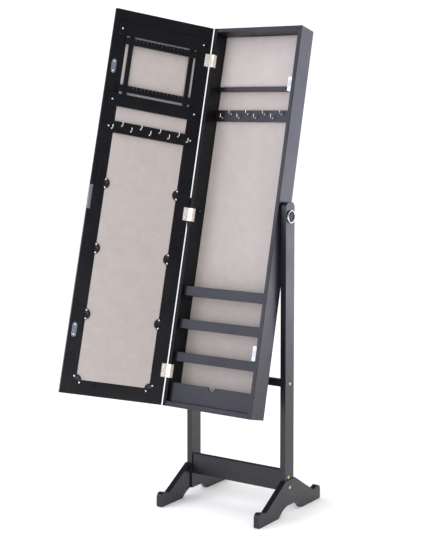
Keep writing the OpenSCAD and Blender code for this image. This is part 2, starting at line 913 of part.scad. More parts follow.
module door_hinge_screws() {
    on_door()
        color("#b4b4b8")
            for (z = hinge_zs, h = [-hinge_h / 4, hinge_h / 4])
                translate([leaf_w - 5, 0, z + h]) {
                    translate([0, leaf_t, 0]) dome_head(screw_r, 0.7);
                    rotate([-90, 0, 0]) rod(1.5, leaf_t + 0.2);
                }
}

upright_left();
upright_right();
foot_left();
foot_right();
stretcher();
mid_rail();
stand_bolts();
pivot_washers();
knob_left();
knob_left_rim();
pivot_bolt_left();
knob_right();
knob_right_rim();
pivot_bolt_right();
side_panel_left();
side_panel_right();
top_board();
bottom_board();
back_board();
back_lining();
brooch_pad();
brooch_shelf();
cabinet_hook_rail();
cabinet_hooks();
shelf_upper();
shelf_middle();
shelf_lower();
shelf_lip_upper();
shelf_lip_middle();
shelf_lip_lower();
tray_front();
magnet_catches();
cabinet_hinge_leaves();
cabinet_hinge_screws();
hinge_pins();
pivot_inserts();
door_stile_hinge_side();
door_stile_free_side();
door_rail_top();
door_rail_bottom();
mirror_glass();
mirror_board();
door_lining();
panel_clips();
door_screws();
rack_rail_top();
rack_rail_bottom();
rack_upright_hinge_side();
rack_upright_free_side();
rack_bar_upper();
rack_bar_lower();
door_hook_bar();
door_hooks();
strike_plates();
door_pull();
door_hinge_leaves();
door_hinge_screws();
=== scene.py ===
"""Looks for a standing jewelry armoire: a tilting, fabric-lined cabinet with a mirror door.

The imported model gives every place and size. This script eases the edges of the painted boards,
makes the hardware as fine pieces, and gives each surface its finish, light and camera.
"""

import json
import logging
import math
from dataclasses import dataclass, field
from enum import Enum
from typing import Any, Iterable, Mapping, Sequence

import bmesh
import bpy
from mathutils import Matrix, Vector


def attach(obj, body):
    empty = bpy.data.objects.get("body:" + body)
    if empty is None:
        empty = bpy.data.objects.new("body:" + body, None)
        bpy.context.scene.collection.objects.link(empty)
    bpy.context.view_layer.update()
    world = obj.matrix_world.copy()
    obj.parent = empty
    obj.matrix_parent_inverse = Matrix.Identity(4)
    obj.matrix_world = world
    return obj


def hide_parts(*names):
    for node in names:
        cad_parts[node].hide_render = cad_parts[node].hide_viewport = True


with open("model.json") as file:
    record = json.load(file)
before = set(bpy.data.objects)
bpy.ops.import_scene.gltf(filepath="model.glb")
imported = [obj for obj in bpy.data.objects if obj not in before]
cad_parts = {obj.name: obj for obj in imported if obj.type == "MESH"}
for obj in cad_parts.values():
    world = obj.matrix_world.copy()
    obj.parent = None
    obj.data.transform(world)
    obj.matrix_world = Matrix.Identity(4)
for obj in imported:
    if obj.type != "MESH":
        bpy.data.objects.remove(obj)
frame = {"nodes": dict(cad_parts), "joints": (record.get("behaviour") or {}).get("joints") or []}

log = logging.getLogger("armoire")
MM = 0.001
WELD = 2e-6  # corners of a CAD mesh closer than this are one corner, in metres
FLAT_DEGREES = 0.4  # faces that meet at less than this are one flat face
EDGE_DEGREES = 32.0  # edges sharper than this are edges of the board, which get eased
TURNED_DEGREES = 40.0  # edges sharper than this stay sharp on turned and repeated parts
SOFT_DEGREES = 50.0  # and on bent wire and the pad, which are rounder
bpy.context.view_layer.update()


# ---- frames


@dataclass(frozen=True)
class Setting:
    """Where the cabinet and door stand in the whole model.

    The cabinet's frame has x from its middle, y back from its front edges and z up from its lower
    end. The door's frame has x from its hinge edge, and y = 0 on its inner face.
    """

    pivot_above_end: float = 598 * MM
    cabinet_width: float = 316 * MM
    door_inset: float = 1.5 * MM
    door_gap: float = 3 * MM

    @property
    def pivot(self) -> Vector:
        """The tilt joint's place."""
        return Vector(self.joint("cabinet_tilt")["pos_m"])

    @staticmethod
    def joint(name: str) -> dict[str, Any]:
        """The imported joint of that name."""
        return next(j for j in frame["joints"] if j["name"] == name)

    @property
    def lean(self) -> float:
        """How far the cabinet leans back, from the door hinge's axis."""
        axis = Vector(self.joint("door_swing")["axis"])
        return math.atan2(axis.y, axis.z)

    @property
    def cabinet(self) -> Matrix:
        """Finds the cabinet's frame from its tilt joint, its lean and the door's hinge.

        Returns:
            From the cabinet's frame to the model's.
        """
        turn = Matrix.Rotation(-self.lean, 4, "X")
        hinge = Vector(self.joint("door_swing")["pos_m"]) - self.pivot
        local = turn.inverted() @ hinge
        depth = -self.door_gap / 2 - local.y
        shift = Matrix.Translation((0.0, -depth, -self.pivot_above_end))
        return Matrix.Translation(self.pivot) @ turn @ shift

    @property
    def door(self) -> Matrix:
        """Finds the door's frame from its hinge joint and how far it stands open.

        Returns:
            From the door's frame to the model's.
        """
        pin = self.cabinet.inverted() @ Vector(self.joint("door_swing")["pos_m"])
        opened = math.radians(self.joint("door_swing")["range_deg"][1])
        across = -self.cabinet_width / 2 + self.door_inset - pin.x
        edge = Matrix.Translation((across, -self.door_gap - pin.y, 0.0))
        turn = Matrix.Rotation(-opened, 4, "Z")
        return self.cabinet @ Matrix.Translation((pin.x, pin.y, 0.0)) @ turn @ edge

    @property
    def door_width(self) -> float:
        """The door's width."""
        return self.cabinet_width - 2 * self.door_inset


SETTING = Setting()


class Place(Enum):
    """The frames that boards are cut in, each square with its boards."""

    STAND = "stand"
    CABINET = "cabinet"
    DOOR = "door"

    @property
    def matrix(self) -> Matrix:
        """From this frame to the model's."""
        frames = {"stand": Matrix.Identity(4), "cabinet": SETTING.cabinet, "door": SETTING.door}
        return frames[self.value]


# ---- colours and nodes


def linear(hex_colour: str) -> tuple[float, float, float, float]:
    """Turns an sRGB hex colour into linear light.

    Args:
        hex_colour: six hex digits with a leading #.

    Returns:
        Linear red, green, blue and an alpha of 1.
    """
    parts = [int(hex_colour[i : i + 2], 16) / 255 for i in (1, 3, 5)]
    red, green, blue = (p / 12.92 if p <= 0.04045 else ((p + 0.055) / 1.055) ** 2.4 for p in parts)
    return red, green, blue, 1.0


def add_node(
    tree: bpy.types.NodeTree, kind: str, inputs: Mapping[Any, Any] | None = None, **settings: Any
) -> bpy.types.Node:
    """Adds one node, sets its properties, and fills or links its inputs.

    Args:
        tree: the tree that the node goes into.
        kind: Blender's identifier of the node type.
        inputs: socket name or index to a value, or to an output socket to link from.
        **settings: properties of the node itself.

    Returns:
        The new node.
    """
    made = tree.nodes.new(kind)
    for name, value in settings.items():
        setattr(made, name, value)
    for key, value in (inputs or {}).items():
        if isinstance(value, bpy.types.NodeSocket):
            tree.links.new(value, made.inputs[key])
        else:
            made.inputs[key].default_value = value
    return made


def per_metre(millimetres: float) -> float:
    """Pattern scale at which one feature spans the given millimetres."""
    return 1.0 / (millimetres * MM)


class Finish:
    """A surface finish that can be built as one Blender material."""

    name: str

    def shade(self, tree: bpy.types.NodeTree, where: bpy.types.NodeSocket) -> bpy.types.Node:
        """Builds the finish's shader.

        Args:
            tree: the material's node tree.
            where: the object's own coordinates, in metres.

        Returns:
            The Principled node.
        """
        raise NotImplementedError

    def material(self) -> bpy.types.Material:
        """Builds this finish the first time that it is asked for.

        Returns:
            The Blender material.
        """
        found = bpy.data.materials.get(self.name)
        if found is not None:
            return found
        made = bpy.data.materials.new(self.name)
        made.use_nodes = True
        tree = made.node_tree
        tree.nodes.clear()
        where = add_node(tree, "ShaderNodeTexCoord").outputs["Object"]
        shader = self.shade(tree, where)
        add_node(tree, "ShaderNodeOutputMaterial", {"Surface": shader.outputs["BSDF"]})
        return made


@dataclass(frozen=True)
class SprayedLacquer(Finish):
    """Satin lacquer sprayed over a fine-grained board: dark and softly glossy.

    Fine lines of grain just show through it, drawn coarser than real so that they can be seen, and
    the skin between them has a faint orange peel.
    """

    name: str
    colour: str
    lighter: str
    place: Place
    level: bool = False
    roughness: float = 0.34
    specular: float = 0.5
    peel_mm: float = 3.0
    grain_mm: float = 2.4
    grain: float = 0.4
    grain_length: float = 26.0
    cloud_mm: float = 90.0

    def shade(self, tree: bpy.types.NodeTree, where: bpy.types.NodeSocket) -> bpy.types.Node:
        """Runs fine grain along the board in tone and gloss, and mottles the gloss over a few
        centimetres.

        Args:
            tree: the material's node tree.
            where: the object's own coordinates, in metres.

        Returns:
            The Principled node.
        """
        length = self.grain_length
        stretch = (length, 1.0, 1.0) if self.level else (1.0, 1.0, length)
        squared = add_node(
            tree, "ShaderNodeMapping",
            {"Vector": where, "Rotation": self.place.matrix.to_euler(), "Scale": stretch},
            vector_type="TEXTURE",
        )
        lines = add_node(
            tree, "ShaderNodeTexNoise",
            {"Vector": squared.outputs[0], "Scale": per_metre(self.grain_mm),
             "Detail": 4.0, "Roughness": 0.65},
        )
        cloud = add_node(
            tree, "ShaderNodeTexNoise",
            {"Vector": where, "Scale": per_metre(self.cloud_mm), "Detail": 3.0, "Roughness": 0.55},
        )
        tone = add_node(
            tree, "ShaderNodeMix",
            {0: lines.outputs["Fac"], 6: linear(self.colour), 7: linear(self.lighter)},
            data_type="RGBA",
        )
        peel = add_node(
            tree, "ShaderNodeTexNoise",
            {"Vector": where, "Scale": per_metre(self.peel_mm), "Detail": 2.0, "Roughness": 0.5},
        )
        uneven = add_node(
            tree, "ShaderNodeMath",
            {0: cloud.outputs["Fac"], 1: lines.outputs["Fac"]}, operation="ADD",
        )
        gloss = add_node(
            tree, "ShaderNodeMapRange",
            {"Value": uneven.outputs[0], "From Min": 0.7, "From Max": 1.3,
             "To Min": self.roughness - 0.07, "To Max": self.roughness + 0.09},
        )
        skin = add_node(
            tree, "ShaderNodeBump",
            {"Height": peel.outputs["Fac"], "Strength": 0.05, "Distance": 0.4 * MM},
        )
        bump = add_node(
            tree, "ShaderNodeBump",
            {"Height": lines.outputs["Fac"], "Strength": self.grain, "Distance": 0.35 * MM,
             "Normal": skin.outputs["Normal"]},
        )
        return add_node(
            tree, "ShaderNodeBsdfPrincipled",
            {"Base Color": tone.outputs[2], "Roughness": gloss.outputs["Result"],
             "IOR": 1.5, "Specular IOR Level": self.specular, "Normal": bump.outputs["Normal"]},
        )


@dataclass(frozen=True)
class FlockedLining(Finish):
    """Short velvet flock on board: soft, brushed in drifts, with a pale sheen at low angles."""

    name: str
    colour: str
    shade_colour: str
    pile_mm: float = 1.6
    drift_mm: float = 38.0

    def shade(self, tree: bpy.types.NodeTree, where: bpy.types.NodeSocket) -> bpy.types.Node:
        """Draws brushed drifts over the pile, which is coarser than real so that it shows.

        Args:
            tree: the material's node tree.
            where: the object's own coordinates, in metres.

        Returns:
            The Principled node.
        """
        drift = add_node(
            tree, "ShaderNodeTexNoise",
            {"Vector": where, "Scale": per_metre(self.drift_mm), "Detail": 4.0, "Roughness": 0.6,
             "Distortion": 0.6},
        )
        pile = add_node(
            tree, "ShaderNodeTexNoise",
            {"Vector": where, "Scale": per_metre(self.pile_mm), "Detail": 2.0, "Roughness": 0.7},
        )
        both = add_node(
            tree, "ShaderNodeMath",
            {0: drift.outputs["Fac"], 1: pile.outputs["Fac"]}, operation="ADD",
        )
        spread = add_node(
            tree, "ShaderNodeMapRange",
            {"Value": both.outputs[0], "From Min": 0.6, "From Max": 1.4,
             "To Min": 0.0, "To Max": 1.0},
        )
        tone = add_node(
            tree, "ShaderNodeMix",
            {0: spread.outputs["Result"], 6: linear(self.shade_colour), 7: linear(self.colour)},
            data_type="RGBA",
        )
        bump = add_node(
            tree, "ShaderNodeBump",
            {"Height": pile.outputs["Fac"], "Strength": 0.35, "Distance": 0.5 * MM},
        )
        return add_node(
            tree, "ShaderNodeBsdfPrincipled",
            {"Base Color": tone.outputs[2], "Roughness": 0.92, "Specular IOR Level": 0.2,
             "Sheen Weight": 0.35, "Sheen Roughness": 0.45, "Normal": bump.outputs["Normal"]},
        )


@dataclass(frozen=True)
class PlatedMetal(Finish):
    """Plated or solid metal: bright, with faint drawn lines or handling haze."""

    name: str
    colour: str
    roughness: float
    haze: float = 0.08
    line_mm: float = 1.2
    lines: float = 0.0
    drawn: float = 0.03
    metallic: float = 1.0

    def shade(self, tree: bpy.types.NodeTree, where: bpy.types.NodeSocket) -> bpy.types.Node:
        """Varies the polish, and draws fine lines along Z where the metal is brushed.

        Args:
            tree: the material's node tree.
            where: the object's own coordinates, in metres.

        Returns:
            The Principled node.
        """
        along = self.drawn if self.lines else 1.0
        stretched = add_node(
            tree, "ShaderNodeMapping", {"Vector": where, "Scale": (1.0, 1.0, along)}
        )
        grain = add_node(
            tree, "ShaderNodeTexNoise",
            {"Vector": stretched.outputs[0], "Scale": per_metre(self.line_mm), "Detail": 3.0},
        )
        polish = add_node(
            tree, "ShaderNodeMapRange",
            {"Value": grain.outputs["Fac"], "From Min": 0.3, "From Max": 0.7,
             "To Min": max(0.02, self.roughness - self.haze / 2),
             "To Max": self.roughness + self.haze / 2},
        )
        bump = add_node(
            tree, "ShaderNodeBump",
            {"Height": grain.outputs["Fac"], "Strength": 0.04 + self.lines, "Distance": 0.05 * MM},
        )
        return add_node(
            tree, "ShaderNodeBsdfPrincipled",
            {"Base Color": linear(self.colour), "Metallic": self.metallic,
             "Roughness": polish.outputs["Result"], "Normal": bump.outputs["Normal"]},
        )


@dataclass(frozen=True)
class MouldedPlastic(Finish):
    """Injection-moulded plastic: one colour through, with the mould's fine spark texture."""

    name: str
    colour: str
    roughness: float
    specular: float = 0.5
    spark_mm: float = 0.9
    spark: float = 0.06

    def shade(self, tree: bpy.types.NodeTree, where: bpy.types.NodeSocket) -> bpy.types.Node:
        """Gives the plastic a fine pitted skin and slightly uneven gloss.

        Args:
            tree: the material's node tree.
            where: the object's own coordinates, in metres.

        Returns:
            The Principled node.
        """
        pits = add_node(
            tree, "ShaderNodeTexVoronoi", {"Vector": where, "Scale": per_metre(self.spark_mm)}
        )
        gloss = add_node(
            tree, "ShaderNodeMapRange",
            {"Value": pits.outputs["Distance"], "From Min": 0.0, "From Max": 0.8,
             "To Min": self.roughness + 0.04, "To Max": self.roughness - 0.03},
        )
        bump = add_node(
            tree, "ShaderNodeBump",
            {"Height": pits.outputs["Distance"], "Strength": self.spark, "Distance": 0.1 * MM},
        )
        return add_node(
            tree, "ShaderNodeBsdfPrincipled",
            {"Base Color": linear(self.colour), "Roughness": gloss.outputs["Result"],
             "IOR": 1.5, "Specular IOR Level": self.specular, "Normal": bump.outputs["Normal"]},
        )


@dataclass(frozen=True)
class SilveredGlass(Finish):
    """Silvered float glass: a clear reflection with a trace of green and the faintest ripple."""

    name: str
    colour: str
    ripple_mm: float = 240.0

    def shade(self, tree: bpy.types.NodeTree, where: bpy.types.NodeSocket) -> bpy.types.Node:
        """Keeps the mirror sharp, with long shallow ripples such as float glass has.

        Args:
            tree: the material's node tree.
            where: the object's own coordinates, in metres.

        Returns:
            The Principled node.
        """
        ripple = add_node(
            tree, "ShaderNodeTexNoise",
            {"Vector": where, "Scale": per_metre(self.ripple_mm), "Detail": 1.0},
        )
        bump = add_node(
            tree, "ShaderNodeBump",
            {"Height": ripple.outputs["Fac"], "Strength": 0.03, "Distance": 0.2 * MM},
        )
        haze = add_node(
            tree, "ShaderNodeMapRange",
            {"Value": ripple.outputs["Fac"], "To Min": 0.015, "To Max": 0.035},
        )
        return add_node(
            tree, "ShaderNodeBsdfPrincipled",
            {"Base Color": linear(self.colour), "Metallic": 1.0,
             "Roughness": haze.outputs["Result"], "Normal": bump.outputs["Normal"]},
        )


@dataclass(frozen=True)
class Hardboard(Finish):
    """Unpainted pressed hardboard: brown, with matted fibres."""

    name: str
    colour: str
    darker: str
    fibre_mm: float = 2.2

    def shade(self, tree: bpy.types.NodeTree, where: bpy.types.NodeSocket) -> bpy.types.Node:
        """Mats short fibres over a mottled brown ground.

        Args:
            tree: the material's node tree.
            where: the object's own coordinates, in metres.

        Returns:
            The Principled node.
        """
        fibre = add_node(
            tree, "ShaderNodeTexNoise",
            {"Vector": where, "Scale": per_metre(self.fibre_mm), "Detail": 6.0, "Distortion": 2.0},
        )
        tone = add_node(
            tree, "ShaderNodeMix",
            {0: fibre.outputs["Fac"], 6: linear(self.darker), 7: linear(self.colour)},
            data_type="RGBA",
        )
        bump = add_node(
            tree, "ShaderNodeBump",
            {"Height": fibre.outputs["Fac"], "Strength": 0.25, "Distance": 0.2 * MM},
        )
        return add_node(
            tree, "ShaderNodeBsdfPrincipled",
            {"Base Color": tone.outputs[2], "Roughness": 0.8, "Normal": bump.outputs["Normal"]},
        )


class Palette(Enum):
    """The finishes of this armoire."""

    # Black with a touch of blue, sprayed in one coat: the grain runs up the tall boards.
    CABINET = SprayedLacquer("satin_lacquer_cabinet_upright", "#0b0b11", "#16161f", Place.CABINET)
    # The same coat on shelves, lips and ends, where the grain runs from side to side.
    CABINET_LEVEL = SprayedLacquer(
        "satin_lacquer_cabinet_level", "#0b0b11", "#16161f", Place.CABINET, True
    )
    # A darker, less glossy copy of the cabinet's coat for the side beside the hinges: painted
    # shade, which keeps that side almost black.
    CABINET_FLAT = SprayedLacquer(
        "painted_shade_lacquer_cabinet_upright", "#07070b", "#0e0e14", Place.CABINET,
        roughness=0.4, specular=0.22,
    )
    # The stand is a trace paler than the cabinet.
    STAND = SprayedLacquer("satin_lacquer_stand_upright", "#0c0c12", "#171720", Place.STAND)
    STAND_LEVEL = SprayedLacquer(
        "satin_lacquer_stand_level", "#0c0c12", "#171720", Place.STAND, True
    )
    # The door's coat is the deepest black, with its grain squared to the frame.
    DOOR = SprayedLacquer("satin_lacquer_door_upright", "#07070b", "#0f0f15", Place.DOOR)
    DOOR_LEVEL = SprayedLacquer("satin_lacquer_door_level", "#07070b", "#0f0f15", Place.DOOR, True)
    # Warm grey flock, matt head-on; the pad's copy is paler, painted light for the light that falls
    # on its raised foam face.
    LINING = FlockedLining("taupe_velvet_flock", "#aea6a3", "#a19996")
    PAD = FlockedLining("taupe_velvet_pad_painted_light", "#b4acaa", "#a69e9c")
    # Warm, slightly clouded plating on the bent wire of the hooks.
    NICKEL = PlatedMetal("hazed_nickel_plate", "#dfd9d0", 0.24, haze=0.1, metallic=0.72)
    # Satin plating that reads as pale champagne rather than mirror.
    HINGE = PlatedMetal("satin_nickel_hinge", "#f0e9dd", 0.28, haze=0.12, metallic=0.5)
    # Small zinc heads with a near-white, only partly metallic base, so that they show as bright
    # dots: a painted glint.
    SCREW = PlatedMetal("zinc_screw_painted_glint", "#f6f6f8", 0.28, haze=0.1, metallic=0.35)
    # Rolled steel with its base tinted blue-grey: the steel's cool grey is its own, the blue is a
    # painted reflection.
    STRIKE = PlatedMetal("steel_strike_painted_blue_reflection", "#b4c2d2", 0.2, haze=0.08, metallic=0.8)
    # Yellow, softly polished heads, which stand out from the black.
    BRASS = PlatedMetal("polished_brass", "#ecd29a", 0.24, metallic=0.7)
    # Mid-grey plating, dulled by handling.
    STEEL = PlatedMetal("zinc_plated_steel", "#b6b7ba", 0.34, haze=0.14)
    # Chemically blackened, with only a dark sheen.
    BLACKED = PlatedMetal("blacked_steel_insert", "#202024", 0.42, haze=0.1)
    # A hard bright line round the knob.
    CHROME = PlatedMetal("bright_chrome_rim", "#dedee2", 0.09)
    # Drawn lines along the pull spread its highlight across them.
    SATIN = PlatedMetal("brushed_aluminium_pull", "#bfc0c4", 0.38, lines=0.12)
    # Sparked black moulding, duller than the rim it sits in.
    KNOB = MouldedPlastic("black_abs_knob", "#0b0b0d", 0.4, specular=0.22)
    # Polished brown-black nylon that shines at its rounded rim.
    CLIP = MouldedPlastic("smoked_nylon_clip", "#1f1c1e", 0.26)
    # Cool white moulding, the brightest thing inside.
    CATCH = MouldedPlastic("white_abs_catch", "#dfe6f0", 0.4)
    # Nearly neutral, with the faint green of thick glass.
    MIRROR = SilveredGlass("silvered_float_glass", "#e4e9e8")
    # Bare brown fibre behind the glass.
    BOARD = Hardboard("pressed_hardboard", "#7a5a3c", "#5a4028")

    @property
    def material(self) -> bpy.types.Material:
        """The Blender material of this finish."""
        return self.value.material()


# ---- shared shapes


def new_object(name: str, mesh: bpy.types.Mesh) -> bpy.types.Object:
    """Links a mesh into the scene.

    Args:
        name: the object's name.
        mesh: its mesh, with its place in it.

    Returns:
        The object, at the origin.
    """
    made = bpy.data.objects.new(name, mesh)
    bpy.context.scene.collection.objects.link(made)
    return made


def smooth_by_angle(mesh: bpy.types.Mesh, degrees: float = EDGE_DEGREES) -> None:
    """Smooths a mesh's shading except over its sharper edges.

    Args:
        mesh: the mesh.
        degrees: the angle over which an edge stays sharp.
    """
    for face in mesh.polygons:
        face.use_smooth = True
    mesh.set_sharp_from_angle(angle=math.radians(degrees))


def finished_mesh(
    shape: bmesh.types.BMesh, name: str, smooth: float | None = None, where: Matrix | None = None
) -> bpy.types.Mesh:
    """Ends a shape in the making as a mesh.

    Args:
        shape: the shape, which is freed.
        name: the mesh's name.
        smooth: the angle in degrees over which edges stay sharp, or None to leave faces flat.
        where: from the shape's frame to the model's, where it isn't made in place.

    Returns:
        The mesh.
    """
    mesh = bpy.data.meshes.new(name)
    shape.to_mesh(mesh)
    shape.free()
    if where is not None:
        mesh.transform(where)
    if smooth is not None:
        smooth_by_angle(mesh, smooth)
    return mesh


def skin(shape: bmesh.types.BMesh, rings: Sequence[Sequence[bmesh.types.BMVert]]) -> None:
    """Joins rings with quads, caps both ends, and turns the faces out.

    Args:
        shape: the shape that holds the rings.
        rings: rings of the same count of vertices, from one end to the other.
    """
    count = len(rings[0])
    for low, high in zip(rings, rings[1:]):
        for k in range(count):
            shape.faces.new((low[k], low[(k + 1) % count], high[(k + 1) % count], high[k]))
    for ring in (rings[0], rings[-1]):
        shape.faces.new(ring)
    bmesh.ops.recalc_face_normals(shape, faces=shape.faces)


def settle(
    piece: bpy.types.Object, finish: Palette, body: str, replaces: Sequence[str] = ()
) -> bpy.types.Object:
    """Gives a finished piece its material, body and the nodes that it stands for.

    Args:
        piece: the object, at the origin with its place in its mesh.
        finish: the finish of all its faces.
        body: the body that it moves with.
        replaces: CAD nodes that the piece stands for.

    Returns:
        The piece.
    """
    if not piece.data.materials:
        piece.data.materials.append(finish.material)
    else:
        piece.data.materials[0] = finish.material
    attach(piece, body)
    if replaces:
        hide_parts(*replaces)
    log.info("%s: %s on %s", piece.name, finish.name.lower(), body)
    return piece


def lathe(
    profile: Sequence[tuple[float, float]], closed: bool = False, sides: int = 64
) -> bpy.types.Mesh:
    """Turns a profile round +Z.

    Args:
        profile: (radius, height) pairs from one pole or rim to the other.
        closed: whether the profile is a loop, which makes a ring.
        sides: number of segments round the axis.

    Returns:
        A closed mesh with outward normals.
    """
    pole = 1e-7
    shape = bmesh.new()
    rings: list[list[bmesh.types.BMVert]] = []
    for radius, height in profile:
        if radius < pole:
            rings.append([shape.verts.new((0.0, 0.0, height))])
            continue
        turns = (2 * math.pi * k / sides for k in range(sides))
        rings.append([
            shape.verts.new((radius * math.cos(a), radius * math.sin(a), height)) for a in turns
        ])
    for low, high in zip(rings, rings[1:] + (rings[:1] if closed else [])):
        for k in range(sides):
            j = (k + 1) % sides
            corners = (
                low[k % len(low)], low[j % len(low)], high[j % len(high)], high[k % len(high)]
            )
            unique = list(dict.fromkeys(corners))
            if len(unique) > 2:
                shape.faces.new(unique)
    for ring in () if closed else (rings[0], rings[-1]):
        if len(ring) > 1:
            shape.faces.new(ring)
    bmesh.ops.recalc_face_normals(shape, faces=shape.faces)
    return finished_mesh(shape, "turned", TURNED_DEGREES)


def tube(path: Sequence[Vector], radii: Sequence[float], sides: int = 12) -> bpy.types.Mesh:
    """Sweeps a circle of changing radius along a path that lies in the plane x = 0.

    Args:
        path: the centre line's points.
        radii: the circle's radius at each point.
        sides: number of segments round the tube.

    Returns:
        A closed mesh with outward normals.
    """
    shape = bmesh.new()
    rings = []
    across = Vector((1.0, 0.0, 0.0))
    for i, (point, radius) in enumerate(zip(path, radii)):
        along = (path[min(i + 1, len(path) - 1)] - path[max(i - 1, 0)]).normalized()
        side = along.cross(across)
        rings.append([
            shape.verts.new(point + radius * (across * math.cos(a) + side * math.sin(a)))
            for a in (2 * math.pi * k / sides for k in range(sides))
        ])
    skin(shape, rings)
    return finished_mesh(shape, "tube", SOFT_DEGREES)


def merged_copy(node: str, name: str) -> bpy.types.Object:
    """Copies a CAD node's mesh, merges its loose triangles and clears its flat faces of edges.

    Args:
        node: the CAD node's name.
        name: the copy's name.

    Returns:
        The copy's object, at the origin.
    """
    shape = bmesh.new()
    shape.from_mesh(frame["nodes"][node].data)
    bmesh.ops.remove_doubles(shape, verts=shape.verts, dist=WELD)
    bmesh.ops.dissolve_limit(
        shape, angle_limit=math.radians(FLAT_DEGREES), use_dissolve_boundaries=False,
        verts=shape.verts, edges=shape.edges,
    )
    return new_object(name, finished_mesh(shape, name))


def ease_edges(piece: bpy.types.Object, radius: float, segments: int = 3) -> None:
    """Rounds a piece's sharp edges with a live bevel and keeps its flats flat in the shading.

    Args:
        piece: the object to finish.
        radius: radius of the eased edge in metres.
        segments: segments across the rounding.
    """
    smooth_by_angle(piece.data)
    bevel = piece.modifiers.new("eased edges", "BEVEL")
    bevel.width = radius
    bevel.segments = segments
    bevel.limit_method = "ANGLE"
    bevel.angle_limit = math.radians(EDGE_DEGREES)
    bevel.use_clamp_overlap = True
    weigh = piece.modifiers.new("flat faces", "WEIGHTED_NORMAL")
    weigh.weight = 100
    weigh.keep_sharp = False


def loose_parts(node: str, into: Matrix) -> list[tuple[Vector, Vector]]:
    """Finds the box of each separate solid of a CAD node.

    Args:
        node: the CAD node's name.
        into: from the model's frame to the frame that the boxes are wanted in.

    Returns:
        Lowest and highest corners, from the lowest part up.
    """
    shape = bmesh.new()
    shape.from_mesh(frame["nodes"][node].data)
    bmesh.ops.remove_doubles(shape, verts=shape.verts, dist=WELD)
    left, boxes = set(shape.verts), []
    while left:
        start = left.pop()
        found, edge_of = [start], [start]
        while edge_of:
            for link in edge_of.pop().link_edges:
                for v in link.verts:
                    if v in left:
                        left.discard(v)
                        found.append(v)
                        edge_of.append(v)
        spots = [into @ v.co for v in found]
        low = Vector([min(s[i] for s in spots) for i in range(3)])
        high = Vector([max(s[i] for s in spots) for i in range(3)])
        boxes.append((low, high))
    shape.free()
    return sorted(boxes, key=lambda b: (round(b[0].z, 4), round(b[0].x, 4)))


# ---- boards, plates and plain parts


@dataclass
class Boards:
    """A set of painted boards or metal plates whose edges are eased."""

    body: str
    nodes: Sequence[str]
    finish: Palette
    slot: str
    radius: float = 1.1 * MM

    def grained(self, piece: bpy.types.Object) -> Palette:
        """Finds the finish whose grain runs along a board.

        Args:
            piece: the board.

        Returns:
            The set's finish, or its level one where the board is longest across or in depth.
        """
        if self.finish not in (Palette.CABINET, Palette.STAND, Palette.DOOR):
            return self.finish
        square = Place(self.body).matrix.inverted()
        spots = [square @ v.co for v in piece.data.vertices]
        across, up = (max(s[i] for s in spots) - min(s[i] for s in spots) for i in (0, 2))
        deep = max(s.y for s in spots) - min(s.y for s in spots)
        return Palette[f"{self.finish.name}_LEVEL"] if max(across, deep) > up else self.finish

    def build(self) -> None:
        """Makes an eased copy of each board and lets it stand for the node."""
        for node in self.nodes:
            piece = merged_copy(node, f"{node}_eased")
            ease_edges(piece, self.radius)
            settle(piece, self.grained(piece), self.body, [node])


@dataclass
class PlainParts:
    """CAD nodes whose shape is already right and that only take a finish."""

    finish: Palette
    nodes: Sequence[str]

    def dress(self) -> None:
        """Assigns the finish to each node's own slot."""
        for node in self.nodes:
            shown = frame["nodes"][node]
            if not shown.data.materials:
                shown.data.materials.append(self.finish.material)
            for slot in shown.material_slots:
                slot.material = self.finish.material
            log.info("%s: %s", node, self.finish.name.lower())


# ---- repeated hardware


